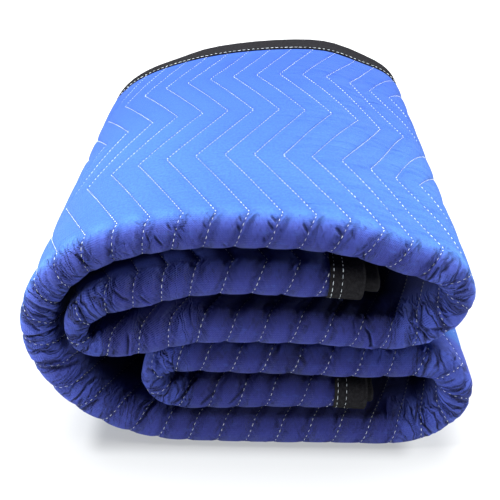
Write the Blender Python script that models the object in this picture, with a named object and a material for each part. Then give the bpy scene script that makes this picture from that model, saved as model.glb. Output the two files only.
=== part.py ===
"""A quilted moving blanket, folded in four across its width, with the strip that makes laid in six layers.

Units are metres. +X runs across the folded bundle, +Y from its folded front to its bound back, +Z up.
The origin is on the floor under the middle of the bundle.

The cloth is one sheet. Two coordinates name a place on it: u runs along the strip, back and forth
through the six layers, and b runs across the sheet, along the path of its four plies.
"""

import bpy
import numpy as np

MM = 0.001

# The sheet: four plies make the strip. From the outer side of the big bends inwards they are the
# first ply, with a bound edge, the fourth, with the other bound edge, the third and the second.
PLIES = 4
DEPTH = 0.488
PLY_HALF = 0.0030
EDGE_HALF = 0.0017
INNER_EDGE_STEP = 0.006
BACK_FOLD_STEP = 0.004

# Where the strip turns tightly it is squeezed thinner, and so is the sheet in it below this pitch.
FULL_PITCH = 0.0066

# Quilting: zigzag seams across the sheet, and the padding that rises between them.
ZIGZAG_LEG = 0.1150
ZIGZAG_SWING = 0.0485
FIRST_CORNER = 0.1250
ROWS_PER_LEG = 4
QUILTED_DEPTH = 0.075
PUFF_RISE = 0.0007
SEAM_SINK = 0.0010
PRESSED_FLAT = 0.0014

# Binding tape, folded over every raw edge, and how far the inner pair of plies stands out past the
# outer pair at the upper and the lower end of the strip.
TAPE_WIDTH = 0.027
TAPE_THICK = 0.0009
CLEARANCE = 0.0003
TAPE_RAMP = 0.008
UPPER_REACH = 0.013
LOWER_REACH = 0.006

# At the back of the top layer the first ply's bound edge stands a little up.
EDGE_LIFT = 0.0045
LIFT_DEPTH = 0.048
LIFT_FROM, LIFT_TO, LIFT_FADE = 0.600, 0.880, 0.060

# Mesh steps along the strip where it is plain: one for this much turning, or this much length.
TURN_STEP = 0.43
LENGTH_STEP = 0.085
LINE_SAMPLES = 3000

# The least distance from a row's end columns to its next one.
END_MARGIN = 0.0065

# The strip's middle line, in travel order, in millimetres. Columns: across, height, thickness of
# the layer, setback of its front fold, and how much higher the same place lies at the back.
ROLL = (
    # upper inner layer, from its bound end to the left
    (93, 156.5, 30, 4.8, 3),
    (55, 160, 30.5, 3.8, 3),
    (5, 163, 30.5, 3, 3),
    (-48, 159.5, 30.5, 3, 1),
    (-86.5, 149.5, 29.8, 3, 0),
    # upper left bend
    (-107.5, 143.5, 28, 3.8, 0),
    (-127, 133, 26, 4.4, 0),
    (-136.5, 119.5, 21.5, 4.8, 0),
    (-137, 106, 17, 4.8, 0),
    (-126.5, 98.7, 19.5, 4.4, 0),
    (-107.5, 100, 27, 3.8, 0),
    # upper lower layer, to the right
    (-82.5, 104.8, 29, 3, 0),
    (-48, 114.3, 30.3, 3, 0),
    (0, 116.8, 30.7, 3, 1),
    (48, 115.8, 30.7, 3, 1),
    (91, 113, 29.8, 3, 1),
    (130.5, 113.8, 29, 3, 2),
    # upper right bend
    (156.5, 125.3, 28.8, 3.8, 3),
    (171.5, 148, 23, 4.8, 4),
    (158.5, 170.4, 28.8, 3.8, 5),
    # top layer, to the left
    (128.5, 182, 29.3, 3, 7),
    (91, 196, 29.8, 3, 6),
    (48, 203, 29.8, 3, 2),
    (0, 205, 29.8, 3, -3),
    (-48, 203, 29.8, 3, -8),
    (-86.5, 196, 29.8, 4, -10),
    # large left bend, round both bundles
    (-123, 181, 29.8, 5, -8),
    (-152.5, 157, 29.8, 6, -4),
    (-167.5, 129.6, 29.8, 7, -1),
    (-170, 102, 29.8, 7, 0),
    (-161.5, 74, 29.8, 7, 0),
    (-143, 47, 28.8, 6, 0),
    (-112.5, 26.4, 28.3, 4, 0),
    # bottom layer, to the right
    (-73, 15.2, 27.8, 2, 0.2),
    (-29, 13.2, 27.3, 1, 0.3),
    (29, 13.2, 27.3, 0, 0.3),
    (91, 13.2, 27.3, 0, 0.3),
    (136.5, 14.3, 27.5, 1, 0.2),
    # lower right bend
    (165, 26.6, 27.8, 3, 0),
    (179, 52, 27.8, 4, 0),
    (165, 76, 27.8, 6, 0),
    # lower upper layer, to the left
    (126.5, 79.8, 27.4, 8, 0),
    (67, 78.3, 27.8, 9.5, 0),
    (5, 79.8, 27.8, 10.5, 0),
    (-36.5, 81.2, 27.4, 10.5, 0),
    # lower left bend
    (-56.5, 80.2, 26.2, 10.5, 0),
    (-71.5, 75, 21.5, 10.5, 0),
    (-79, 62.5, 17.5, 9.5, 0),
    (-71.5, 49.8, 21.5, 8.5, 0),
    (-56.5, 44.5, 26.2, 7.5, 0),
    # lower inner layer, to its bound end on the right
    (-36.5, 44.3, 27.4, 7.5, 0),
    (5, 46.6, 27.8, 6.5, 0),
    (48, 47.6, 27.8, 6.5, 0),
    (102.5, 44.7, 27, 6.5, 0),
)

# Where the quilting seams cross the strip in the middle of their zigzag: the seam's number, and its
# distance along the strip in millimetres. Between these the seams are evenly spaced.
SEAMS = (
    (-4, -28), (0, 74), (3, 151.5), (6, 223),
    (10, 327), (13, 403), (15, 455), (18, 529), (20, 577),
    (22, 621.5), (26, 721), (29, 796.5), (33, 895.5), (35, 947),
    (44, 1159.5), (48, 1259), (52, 1358), (56, 1455.5),
    (58, 1503), (60, 1555.5), (64, 1657.5),
    (68, 1746), (71, 1820), (72, 1848), (77, 1973),
)


# ---- the strip


def natural_spline(knots, values, at):
    """Cubic spline through values at knots, straight at its two ends."""
    gap = np.diff(knots)
    rise = np.diff(values, axis=0) / gap[:, None]
    matrix = np.eye(len(knots))
    right = np.zeros_like(values)
    for i in range(1, len(knots) - 1):
        matrix[i, i - 1 : i + 2] = gap[i - 1], 2 * (gap[i - 1] + gap[i]), gap[i]
        right[i] = 6 * (rise[i] - rise[i - 1])
    bend = np.linalg.solve(matrix, right)
    cell = np.clip(np.searchsorted(knots, at) - 1, 0, len(knots) - 2)
    width = gap[cell][:, None]
    after = (at - knots[cell])[:, None] / width
    before = 1 - after
    curve = before * values[cell] + after * values[cell + 1]
    sag = (before**3 - before) * bend[cell] + (after**3 - after) * bend[cell + 1]
    return curve + sag * width**2 / 6


def rolled_line():
    """The middle line in fine steps: the distance along it, and the table's columns in metres."""
    table = np.array(ROLL) * MM
    steps = np.linalg.norm(np.diff(table[:, :2], axis=0), axis=1)
    knots = np.concatenate([[0], np.cumsum(np.sqrt(steps))])
    fine = natural_spline(knots, table, np.linspace(0, knots[-1], LINE_SAMPLES))
    along = np.linalg.norm(np.diff(fine[:, :2], axis=0), axis=1)
    return np.concatenate([[0], np.cumsum(along)]), fine


LENGTHS, LINE = rolled_line()
STRIP = LENGTHS[-1]


def line_at(u):
    """The table's columns at distances u, carried on straight past both ends of the strip."""
    inside = np.clip(u, 0, STRIP)
    found = np.stack([np.interp(inside, LENGTHS, column) for column in LINE.T], axis=-1)
    for end, inner, past in ((0, 20, np.maximum(-u, 0)), (-1, -21, np.maximum(u - STRIP, 0))):
        way = LINE[end, :2] - LINE[inner, :2]
        found[..., :2] += past[..., None] * way / np.linalg.norm(way)
    return found


def place(u, y, n):
    """Points at strip distance u and depth y, n out from the middle line towards the big bends' outside."""
    step = 0.0015
    share = np.clip(y / DEPTH, 0, 1.02) ** 1.5
    spots = []
    for shift in (-step, 0, step):
        found = line_at(u + shift)
        spots.append(np.stack([found[..., 0], found[..., 1] + share * found[..., 4]], axis=-1))
    way = spots[2] - spots[0]
    way /= np.linalg.norm(way, axis=-1, keepdims=True)
    return np.stack([spots[1][..., 0] + n * way[..., 1], y, spots[1][..., 1] - n * way[..., 0]], axis=-1)


# ---- the sheet in its four plies

# The sheet's path from its first bound edge: ply 1, front fold, ply 2, back fold, ply 3, inner
# front fold, ply 4. A row is a place on this path: the run's number and the share of it gone by.
PLY_1, FRONT_FOLD, PLY_2, BACK_FOLD, PLY_3, INNER_FOLD, PLY_4 = range(7)


def run_lengths(pitch, setback):
    front = setback + 2 * pitch
    back = DEPTH + 0.4 * setback
    fold = back - BACK_FOLD_STEP - pitch
    return [
        back - front, 1.5 * np.pi * pitch, fold - front, 0.5 * np.pi * pitch,
        fold - front, 0.5 * np.pi * pitch, back - INNER_EDGE_STEP - front,
    ]


USUAL = run_lengths(7.2 * MM, 4 * MM)
STARTS = np.concatenate([[0], np.cumsum(USUAL)])
SHEET = STARTS[-1]


def row_at(b):
    """The row at distance b across the sheet."""
    run = int(np.clip(np.searchsorted(STARTS, b, side="right") - 1, 0, 6))
    return run, (b - STARTS[run]) / USUAL[run]


def across(row):
    return STARTS[row[0]] + row[1] * USUAL[row[0]]


def eased(share):
    share = np.clip(share, 0, 1)
    return share * share * (3 - 2 * share)


def edge_lift(u, b):
    """How far the first ply stands up near its bound edge, at distance b from it, on the top layer."""
    along = eased((u - LIFT_FROM) / LIFT_FADE) * eased((LIFT_TO - u) / LIFT_FADE)
    return EDGE_LIFT * along * np.clip(1 - b / LIFT_DEPTH, 0, 1) ** 2


def sheet_points(u, row, off):
    """Points on a row, off from the sheet's own middle towards its outer face."""
    run, share = row
    columns = line_at(u)
    p, setback = columns[..., 2] / PLIES, columns[..., 3]
    off = off * np.minimum(p / FULL_PITCH, 1)
    front = setback + 2 * p
    back = DEPTH + 0.4 * setback
    fold = back - BACK_FOLD_STEP - p
    turn = np.pi * share
    if run == PLY_1:
        lift = edge_lift(u, max(share, 0) * USUAL[PLY_1])
        y, n, dy, dn = back - share * (back - front), 1.5 * p + lift, 0, 1
    elif run == FRONT_FOLD:
        y, n, dy, dn = front - 1.5 * p * np.sin(turn), 1.5 * p * np.cos(turn), -np.sin(turn), np.cos(turn)
    elif run == PLY_2:
        y, n, dy, dn = front + share * (fold - front), -1.5 * p, 0, -1
    elif run == BACK_FOLD:
        y, n, dy, dn = fold + 0.5 * p * np.sin(turn), -p - 0.5 * p * np.cos(turn), np.sin(turn), -np.cos(turn)
    elif run == PLY_3:
        y, n, dy, dn = fold - share * (fold - front), -0.5 * p, 0, 1
    elif run == INNER_FOLD:
        y, n, dy, dn = front - 0.5 * p * np.sin(turn), -0.5 * p * np.cos(turn), np.sin(turn), np.cos(turn)
    else:
        y, n, dy, dn = front + share * (back - INNER_EDGE_STEP - front), 0.5 * p, 0, -1
    return place(u, y + off * dy, n + off * dn)


def zigzag(b):
    """Sideways shift of the quilting seams at distance b across the sheet."""
    phase = (b - FIRST_CORNER) / ZIGZAG_LEG
    return ZIGZAG_SWING * (0.5 - abs((phase + 1) % 2 - 1))


SEAM_NUMBERS, SEAM_PLACES = np.array(SEAMS).T * [[1], [MM]]


def seam_at(number):
    """Distance along the strip of a seam, or of a place between two."""
    return np.interp(number, SEAM_NUMBERS, SEAM_PLACES)


def strip_ends(row):
    """Where a row starts and stops along the strip, with the inner plies standing out."""
    path = np.clip((across(row) - STARTS[PLY_2]) / (STARTS[INNER_FOLD] - STARTS[PLY_2]), 0, 1)
    grown = path * path * (3 - 2 * path)
    return -UPPER_REACH * grown, STRIP + LOWER_REACH * grown


def plain_lines():
    """Strip distances that follow the bends with few steps."""
    way = np.gradient(LINE[:, :2], axis=0)
    turning = np.unwrap(np.arctan2(way[:, 1], way[:, 0]))
    spent = np.concatenate([[0], np.cumsum(np.abs(np.diff(turning)) / TURN_STEP + np.diff(LENGTHS) / LENGTH_STEP)])
    return np.interp(np.linspace(0, spent[-1], int(np.ceil(spent[-1])) + 1), spent, LENGTHS)


PLAIN = plain_lines()


def edge_columns(row):
    """The three columns at each end of a row: raw edge, tape border, full thickness."""
    first, last = strip_ends(row)
    steps = np.array([0, TAPE_WIDTH, TAPE_WIDTH + TAPE_RAMP])
    return first + steps, last - steps[::-1]


def row_columns(row, quilted):
    """(distance, seam number, height over the sheet's half thickness) for each point of a row."""
    left, right = edge_columns(row)
    if quilted:
        number = np.arange(2 * SEAM_NUMBERS[0], 2 * SEAM_NUMBERS[-1] + 1) / 2
        inner = seam_at(number) + zigzag(across(row))
        lift = np.where(number % 1 == 0, -SEAM_SINK, PUFF_RISE)
    else:
        inner = number = PLAIN
        lift = 0 * inner
    kept = (inner > left[-1] + END_MARGIN) & (inner < right[0] - END_MARGIN)
    u = np.concatenate([left, inner[kept], right])
    number = np.concatenate([[-1e4, -9e3, -8e3], number[kept], [8e3, 9e3, 1e4]])
    return u, number, np.concatenate([np.zeros(3), lift[kept], np.zeros(3)])


# ---- meshes


class Mesh:
    """Points and triangles gathered piece by piece."""

    def __init__(self):
        self.points, self.faces, self.count = [], [], 0

    def add(self, points):
        points = np.asarray(points, float).reshape(-1, 3)
        first = self.count
        self.points.append(points)
        self.count += len(points)
        return np.arange(first, self.count)

    def zip(self, a, b, a_keys, b_keys):
        """Fills between two rows of points, each in rising order of its keys. A square is cut the short way."""
        points = np.concatenate(self.points)
        i = j = 0
        while i < len(a) - 1 or j < len(b) - 1:
            if i < len(a) - 1 and j < len(b) - 1 and abs(a_keys[i + 1] - b_keys[j + 1]) < 1e-6:
                one, other = points[a[i + 1]] - points[b[j]], points[b[j + 1]] - points[a[i]]
                if one @ one <= other @ other:
                    self.faces += [(a[i], a[i + 1], b[j]), (a[i + 1], b[j + 1], b[j])]
                else:
                    self.faces += [(a[i], b[j + 1], b[j]), (a[i], a[i + 1], b[j + 1])]
                i, j = i + 1, j + 1
            elif j == len(b) - 1 or (i < len(a) - 1 and a_keys[i + 1] <= b_keys[j + 1]):
                self.faces.append((a[i], a[i + 1], b[j]))
                i += 1
            else:
                self.faces.append((a[i], b[j + 1], b[j]))
                j += 1

    def quads(self, a, b):
        for i in range(len(a) - 1):
            self.faces += [(a[i], a[i + 1], b[i + 1]), (a[i], b[i + 1], b[i])]


def face_rows(outer):
    """The rows of one face of the sheet, from the first bound edge to the second, and which are quilted."""
    edge, ramp = TAPE_WIDTH / USUAL[PLY_1], (TAPE_WIDTH + TAPE_RAMP) / USUAL[PLY_1]
    rows = [((PLY_1, 0), False), ((PLY_1, edge), False), ((PLY_1, ramp), outer)]
    if outer:
        step = ZIGZAG_LEG / ROWS_PER_LEG
        first, last = across((PLY_1, ramp)), STARTS[FRONT_FOLD]
        for k in range(-3, 40):
            b = FIRST_CORNER + k * step
            if first + 0.4 * step < b < last - 0.4 * step:
                rows.append((row_at(b), True))
        rows += [((FRONT_FOLD, share), True) for share in np.linspace(0, 1, 7)]
        rows += [((PLY_2, QUILTED_DEPTH / USUAL[PLY_2] * share), True) for share in (0.4, 1)]
    else:
        rows += [((PLY_1, 0.5), False), ((PLY_1, 1), False), ((FRONT_FOLD, 0.5), False), ((PLY_2, 0), False)]
    rows += [(row, False) for row in (
        (PLY_2, 0.5), (PLY_2, 1), (BACK_FOLD, 0.5), (PLY_3, 0), (PLY_3, 0.5), (PLY_3, 1),
        (INNER_FOLD, 0.5), (PLY_4, 0), (PLY_4, 0.5), (PLY_4, 1 - ramp), (PLY_4, 1 - edge), (PLY_4, 1),
    )]
    return rows


def add_face(mesh, outer):
    """One face of the sheet. Returns its rows of point numbers, and their distances along and across it."""
    side = 1 if outer else -1
    numbers, along, where = [], [], []
    rows = face_rows(outer)
    for index, (row, quilted) in enumerate(rows):
        u, seams, lift = row_columns(row, quilted)
        half = np.full(len(u), PLY_HALF)
        half[:2] = half[-2:] = EDGE_HALF
        if index < 2 or index >= len(rows) - 2:
            half[:] = EDGE_HALF
        points = sheet_points(u, row, side * (half + lift))
        if outer and index >= 2:
            resting = points[:, 2] < PRESSED_FLAT
            resting[:2] = resting[-2:] = False
            points[resting, 2] = 0
        numbers.append(mesh.add(points))
        along.append(u)
        where.append(across(row))
        if index:
            keys = (seams_before, seams) if quilted and rows[index - 1][1] else (along[-2], u)
            mesh.zip(numbers[-2], numbers[-1], *keys)
        seams_before = seams
    return numbers, along, where


def blanket_mesh():
    mesh = Mesh()
    top, top_along, top_where = add_face(mesh, True)
    low, low_along, low_where = add_face(mesh, False)
    mesh.zip(low[0], top[0], low_along[0], top_along[0])
    mesh.zip(top[-1], low[-1], top_along[-1], low_along[-1])
    mesh.zip([r[0] for r in top], [r[0] for r in low], top_where, low_where)
    mesh.zip([r[-1] for r in low], [r[-1] for r in top], low_where, top_where)
    return mesh


def edge_tape_mesh(first_edge):
    """Tape folded over one of the sheet's long edges, from just past one end tape to the other."""
    edge = (PLY_1, 0) if first_edge else (PLY_4, 1)
    left, right = edge_columns(edge)
    inner = PLAIN[(PLAIN > left[-1] + END_MARGIN) & (PLAIN < right[0] - END_MARGIN)]
    u = np.concatenate([[left[1] + CLEARANCE, left[2]], inner, [right[0], right[1] - CLEARANCE]])
    inside, outside = EDGE_HALF + CLEARANCE, EDGE_HALF + CLEARANCE + TAPE_THICK
    corners = (
        (TAPE_WIDTH, outside), (-CLEARANCE - TAPE_THICK, outside),
        (-CLEARANCE - TAPE_THICK, -outside), (TAPE_WIDTH, -outside),
        (TAPE_WIDTH, -inside), (-CLEARANCE, -inside), (-CLEARANCE, inside), (TAPE_WIDTH, inside),
    )
    mesh = Mesh()
    lines = []
    for inwards, off in corners:
        share = inwards / USUAL[edge[0]]
        row = (edge[0], share if first_edge else 1 - share)
        lines.append(mesh.add(sheet_points(u, row, off)))
    for i in range(len(lines)):
        mesh.zip(lines[i], lines[(i + 1) % len(lines)], u, u)
    for end in (0, -1):
        ring = [line[end] for line in lines]
        for a, b, c, d in ((0, 1, 6, 7), (1, 2, 5, 6), (2, 3, 4, 5)):
            mesh.faces += [(ring[a], ring[b], ring[c]), (ring[a], ring[c], ring[d])]
    return mesh


def end_tape_mesh(upper):
    """Tape folded over one end of the strip, through all four plies, closed at the sheet's corners."""
    mesh = Mesh()
    mouths = []
    for grow in (CLEARANCE, CLEARANCE + TAPE_THICK):
        sides = []
        for outer in (True, False):
            rows = [row for row, _ in face_rows(outer)]
            rows = [(PLY_1, -grow / USUAL[PLY_1])] + rows[1:-1] + [(PLY_4, 1 + grow / USUAL[PLY_4])]
            off = (EDGE_HALF + grow) * (1 if outer else -1)
            raw, mouth = [], []
            for row in rows:
                first, last = strip_ends(row)
                u = np.array([first - grow, first + TAPE_WIDTH] if upper else [last + grow, last - TAPE_WIDTH])
                a, b = mesh.add(sheet_points(u, row, off))
                raw.append(a)
                mouth.append(b)
            where = [across(row) for row in rows]
            mesh.zip(raw, mouth, where, where)
            sides.append((raw, mouth, where))
        (raw, mouth, where), (low_raw, low_mouth, low_where) = sides
        mesh.zip(raw, low_raw, where, low_where)
        for i in (0, -1):
            mesh.faces += [(raw[i], mouth[i], low_mouth[i]), (raw[i], low_mouth[i], low_raw[i])]
        loop = mouth + low_mouth[::-1]
        mouths.append(loop + loop[:1])
    mesh.quads(*mouths)
    return mesh


# ---- objects


def material(name, colour, roughness, sheen):
    made = bpy.data.materials.new(name)
    made.use_nodes = True
    shader = made.node_tree.nodes["Principled BSDF"]
    shader.inputs["Base Color"].default_value = (*colour, 1)
    shader.inputs["Roughness"].default_value = roughness
    shader.inputs["Metallic"].default_value = 0
    shader.inputs["Sheen Weight"].default_value = sheen
    made.diffuse_color = (*colour, 1)
    return made


def turned_outwards(points, faces):
    """The faces, all turned the same way round and pointing out."""
    edges = {}
    for number, (a, b, c) in enumerate(faces):
        for ends in ((a, b), (b, c), (c, a)):
            edges.setdefault(frozenset(ends), []).append((number, ends))
    flip = {0: False}
    waiting = [0]
    while waiting:
        here = waiting.pop()
        a, b, c = faces[here]
        for ends in ((a, b), (b, c), (c, a)):
            for other, other_ends in edges[frozenset(ends)]:
                if other not in flip:
                    flip[other] = flip[here] ^ (ends == other_ends)
                    waiting.append(other)
    turned = np.array([face[::-1] if flip[number] else face for number, face in enumerate(faces)])
    a, b, c = (points[turned[:, i]] for i in range(3))
    volume = np.einsum("ij,ij->i", a, np.cross(b, c)).sum()
    return turned if volume > 0 else turned[:, ::-1]


def build_object(name, mesh, shift, paint):
    points = np.concatenate(mesh.points) + shift
    faces = [tuple(int(i) for i in face) for face in mesh.faces]
    data = bpy.data.meshes.new(name)
    data.from_pydata(points.tolist(), [], turned_outwards(points, faces).tolist())
    data.materials.append(paint)
    data.shade_smooth()
    data.set_sharp_from_angle(angle=0.9)
    obj = bpy.data.objects.new(name, data)
    bpy.context.scene.collection.objects.link(obj)
    return obj


def main():
    for obj in list(bpy.data.objects):
        bpy.data.objects.remove(obj, do_unlink=True)
    cloth = material("quilted_fabric", (0.035, 0.085, 0.45), 0.8, 0.3)
    tape = material("binding_tape", (0.012, 0.012, 0.014), 0.75, 0.1)
    pieces = {
        "blanket": (blanket_mesh(), cloth),
        "binding_first_side": (edge_tape_mesh(True), tape),
        "binding_second_side": (edge_tape_mesh(False), tape),
        "binding_upper_end": (end_tape_mesh(True), tape),
        "binding_lower_end": (end_tape_mesh(False), tape),
    }
    every = np.concatenate([np.concatenate(mesh.points) for mesh, _ in pieces.values()])
    low, high = every.min(axis=0), every.max(axis=0)
    shift = np.array([-(low[0] + high[0]) / 2, -(low[1] + high[1]) / 2, 0])
    for name, (mesh, paint) in pieces.items():
        build_object(name, mesh, shift, paint)


main()
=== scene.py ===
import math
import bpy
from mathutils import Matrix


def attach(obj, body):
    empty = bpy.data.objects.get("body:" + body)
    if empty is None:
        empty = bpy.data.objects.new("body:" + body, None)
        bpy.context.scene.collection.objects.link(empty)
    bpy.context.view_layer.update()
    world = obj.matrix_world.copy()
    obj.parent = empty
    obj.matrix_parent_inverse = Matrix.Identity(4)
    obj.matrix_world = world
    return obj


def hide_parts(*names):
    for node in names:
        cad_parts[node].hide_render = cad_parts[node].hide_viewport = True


bl_info = {
    "name": "Folded Moving Blanket",
    "version": (1, 0, 0),
    "blender": (4, 5, 0),
    "location": "View3D > Sidebar > Moving Blanket",
    "description": "Builds the cloth, binding and stitching of a folded quilted moving blanket",
    "category": "Object",
}

import bpy
import numpy as np
from bpy.props import FloatProperty, FloatVectorProperty, IntProperty, PointerProperty
from mathutils import Matrix, Vector

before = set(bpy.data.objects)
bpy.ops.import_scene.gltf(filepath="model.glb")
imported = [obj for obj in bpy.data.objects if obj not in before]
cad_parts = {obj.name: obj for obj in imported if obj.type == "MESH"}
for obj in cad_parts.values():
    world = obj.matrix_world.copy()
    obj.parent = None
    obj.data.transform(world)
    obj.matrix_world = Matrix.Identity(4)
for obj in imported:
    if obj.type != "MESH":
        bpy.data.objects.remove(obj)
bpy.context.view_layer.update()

MM = 0.001

# The strip's middle line, in travel order, in millimetres. Columns: across, height, thickness of
# the layer, setback of its front fold, and how much higher the same place lies at the back.
ROLL = (
    # upper inner layer, from its bound end to the left
    (93, 156.5, 30, 4.8, 3),
    (55, 160, 30.5, 3.8, 3),
    (5, 163, 30.5, 3, 3),
    (-48, 159.5, 30.5, 3, 1),
    (-86.5, 149.5, 29.8, 3, 0),
    # upper left bend
    (-107.5, 143.5, 28, 3.8, 0),
    (-127, 133, 26, 4.4, 0),
    (-136.5, 119.5, 21.5, 4.8, 0),
    (-137, 106, 17, 4.8, 0),
    (-126.5, 98.7, 19.5, 4.4, 0),
    (-107.5, 100, 27, 3.8, 0),
    # upper lower layer, to the right
    (-82.5, 104.8, 29, 3, 0),
    (-48, 114.3, 30.3, 3, 0),
    (0, 116.8, 30.7, 3, 1),
    (48, 115.8, 30.7, 3, 1),
    (91, 113, 29.8, 3, 1),
    (130.5, 113.8, 29, 3, 2),
    # upper right bend
    (156.5, 125.3, 28.8, 3.8, 3),
    (171.5, 148, 23, 4.8, 4),
    (158.5, 170.4, 28.8, 3.8, 5),
    # top layer, to the left
    (128.5, 182, 29.3, 3, 7),
    (91, 196, 29.8, 3, 6),
    (48, 203, 29.8, 3, 2),
    (0, 205, 29.8, 3, -3),
    (-48, 203, 29.8, 3, -8),
    (-86.5, 196, 29.8, 4, -10),
    # large left bend, round both bundles
    (-123, 181, 29.8, 5, -8),
    (-152.5, 157, 29.8, 6, -4),
    (-167.5, 129.6, 29.8, 7, -1),
    (-170, 102, 29.8, 7, 0),
    (-161.5, 74, 29.8, 7, 0),
    (-143, 47, 28.8, 6, 0),
    (-112.5, 26.4, 28.3, 4, 0),
    # bottom layer, to the right
    (-73, 15.2, 27.8, 2, 0.2),
    (-29, 13.2, 27.3, 1, 0.3),
    (29, 13.2, 27.3, 0, 0.3),
    (91, 13.2, 27.3, 0, 0.3),
    (136.5, 14.3, 27.5, 1, 0.2),
    # lower right bend
    (165, 26.6, 27.8, 3, 0),
    (179, 52, 27.8, 4, 0),
    (165, 76, 27.8, 6, 0),
    # lower upper layer, to the left
    (126.5, 79.8, 27.4, 8, 0),
    (67, 78.3, 27.8, 9.5, 0),
    (5, 79.8, 27.8, 10.5, 0),
    (-36.5, 81.2, 27.4, 10.5, 0),
    # lower left bend
    (-56.5, 80.2, 26.2, 10.5, 0),
    (-71.5, 75, 21.5, 10.5, 0),
    (-79, 62.5, 17.5, 9.5, 0),
    (-71.5, 49.8, 21.5, 8.5, 0),
    (-56.5, 44.5, 26.2, 7.5, 0),
    # lower inner layer, to its bound end on the right
    (-36.5, 44.3, 27.4, 7.5, 0),
    (5, 46.6, 27.8, 6.5, 0),
    (48, 47.6, 27.8, 6.5, 0),
    (102.5, 44.7, 27, 6.5, 0),
)

# Where the quilting seams cross the strip in the middle of their zigzag: the seam's number, and its
# distance along the strip in millimetres. Between these the seams are evenly spaced.
SEAMS = (
    (-4, -28), (0, 74), (3, 151.5), (6, 223),
    (10, 327), (13, 403), (15, 455), (18, 529), (20, 577),
    (22, 621.5), (26, 721), (29, 796.5), (33, 895.5), (35, 947),
    (44, 1159.5), (48, 1259), (52, 1358), (56, 1455.5),
    (58, 1503), (60, 1555.5), (64, 1657.5),
    (68, 1746), (71, 1820), (72, 1848), (77, 1973),
)

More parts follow.
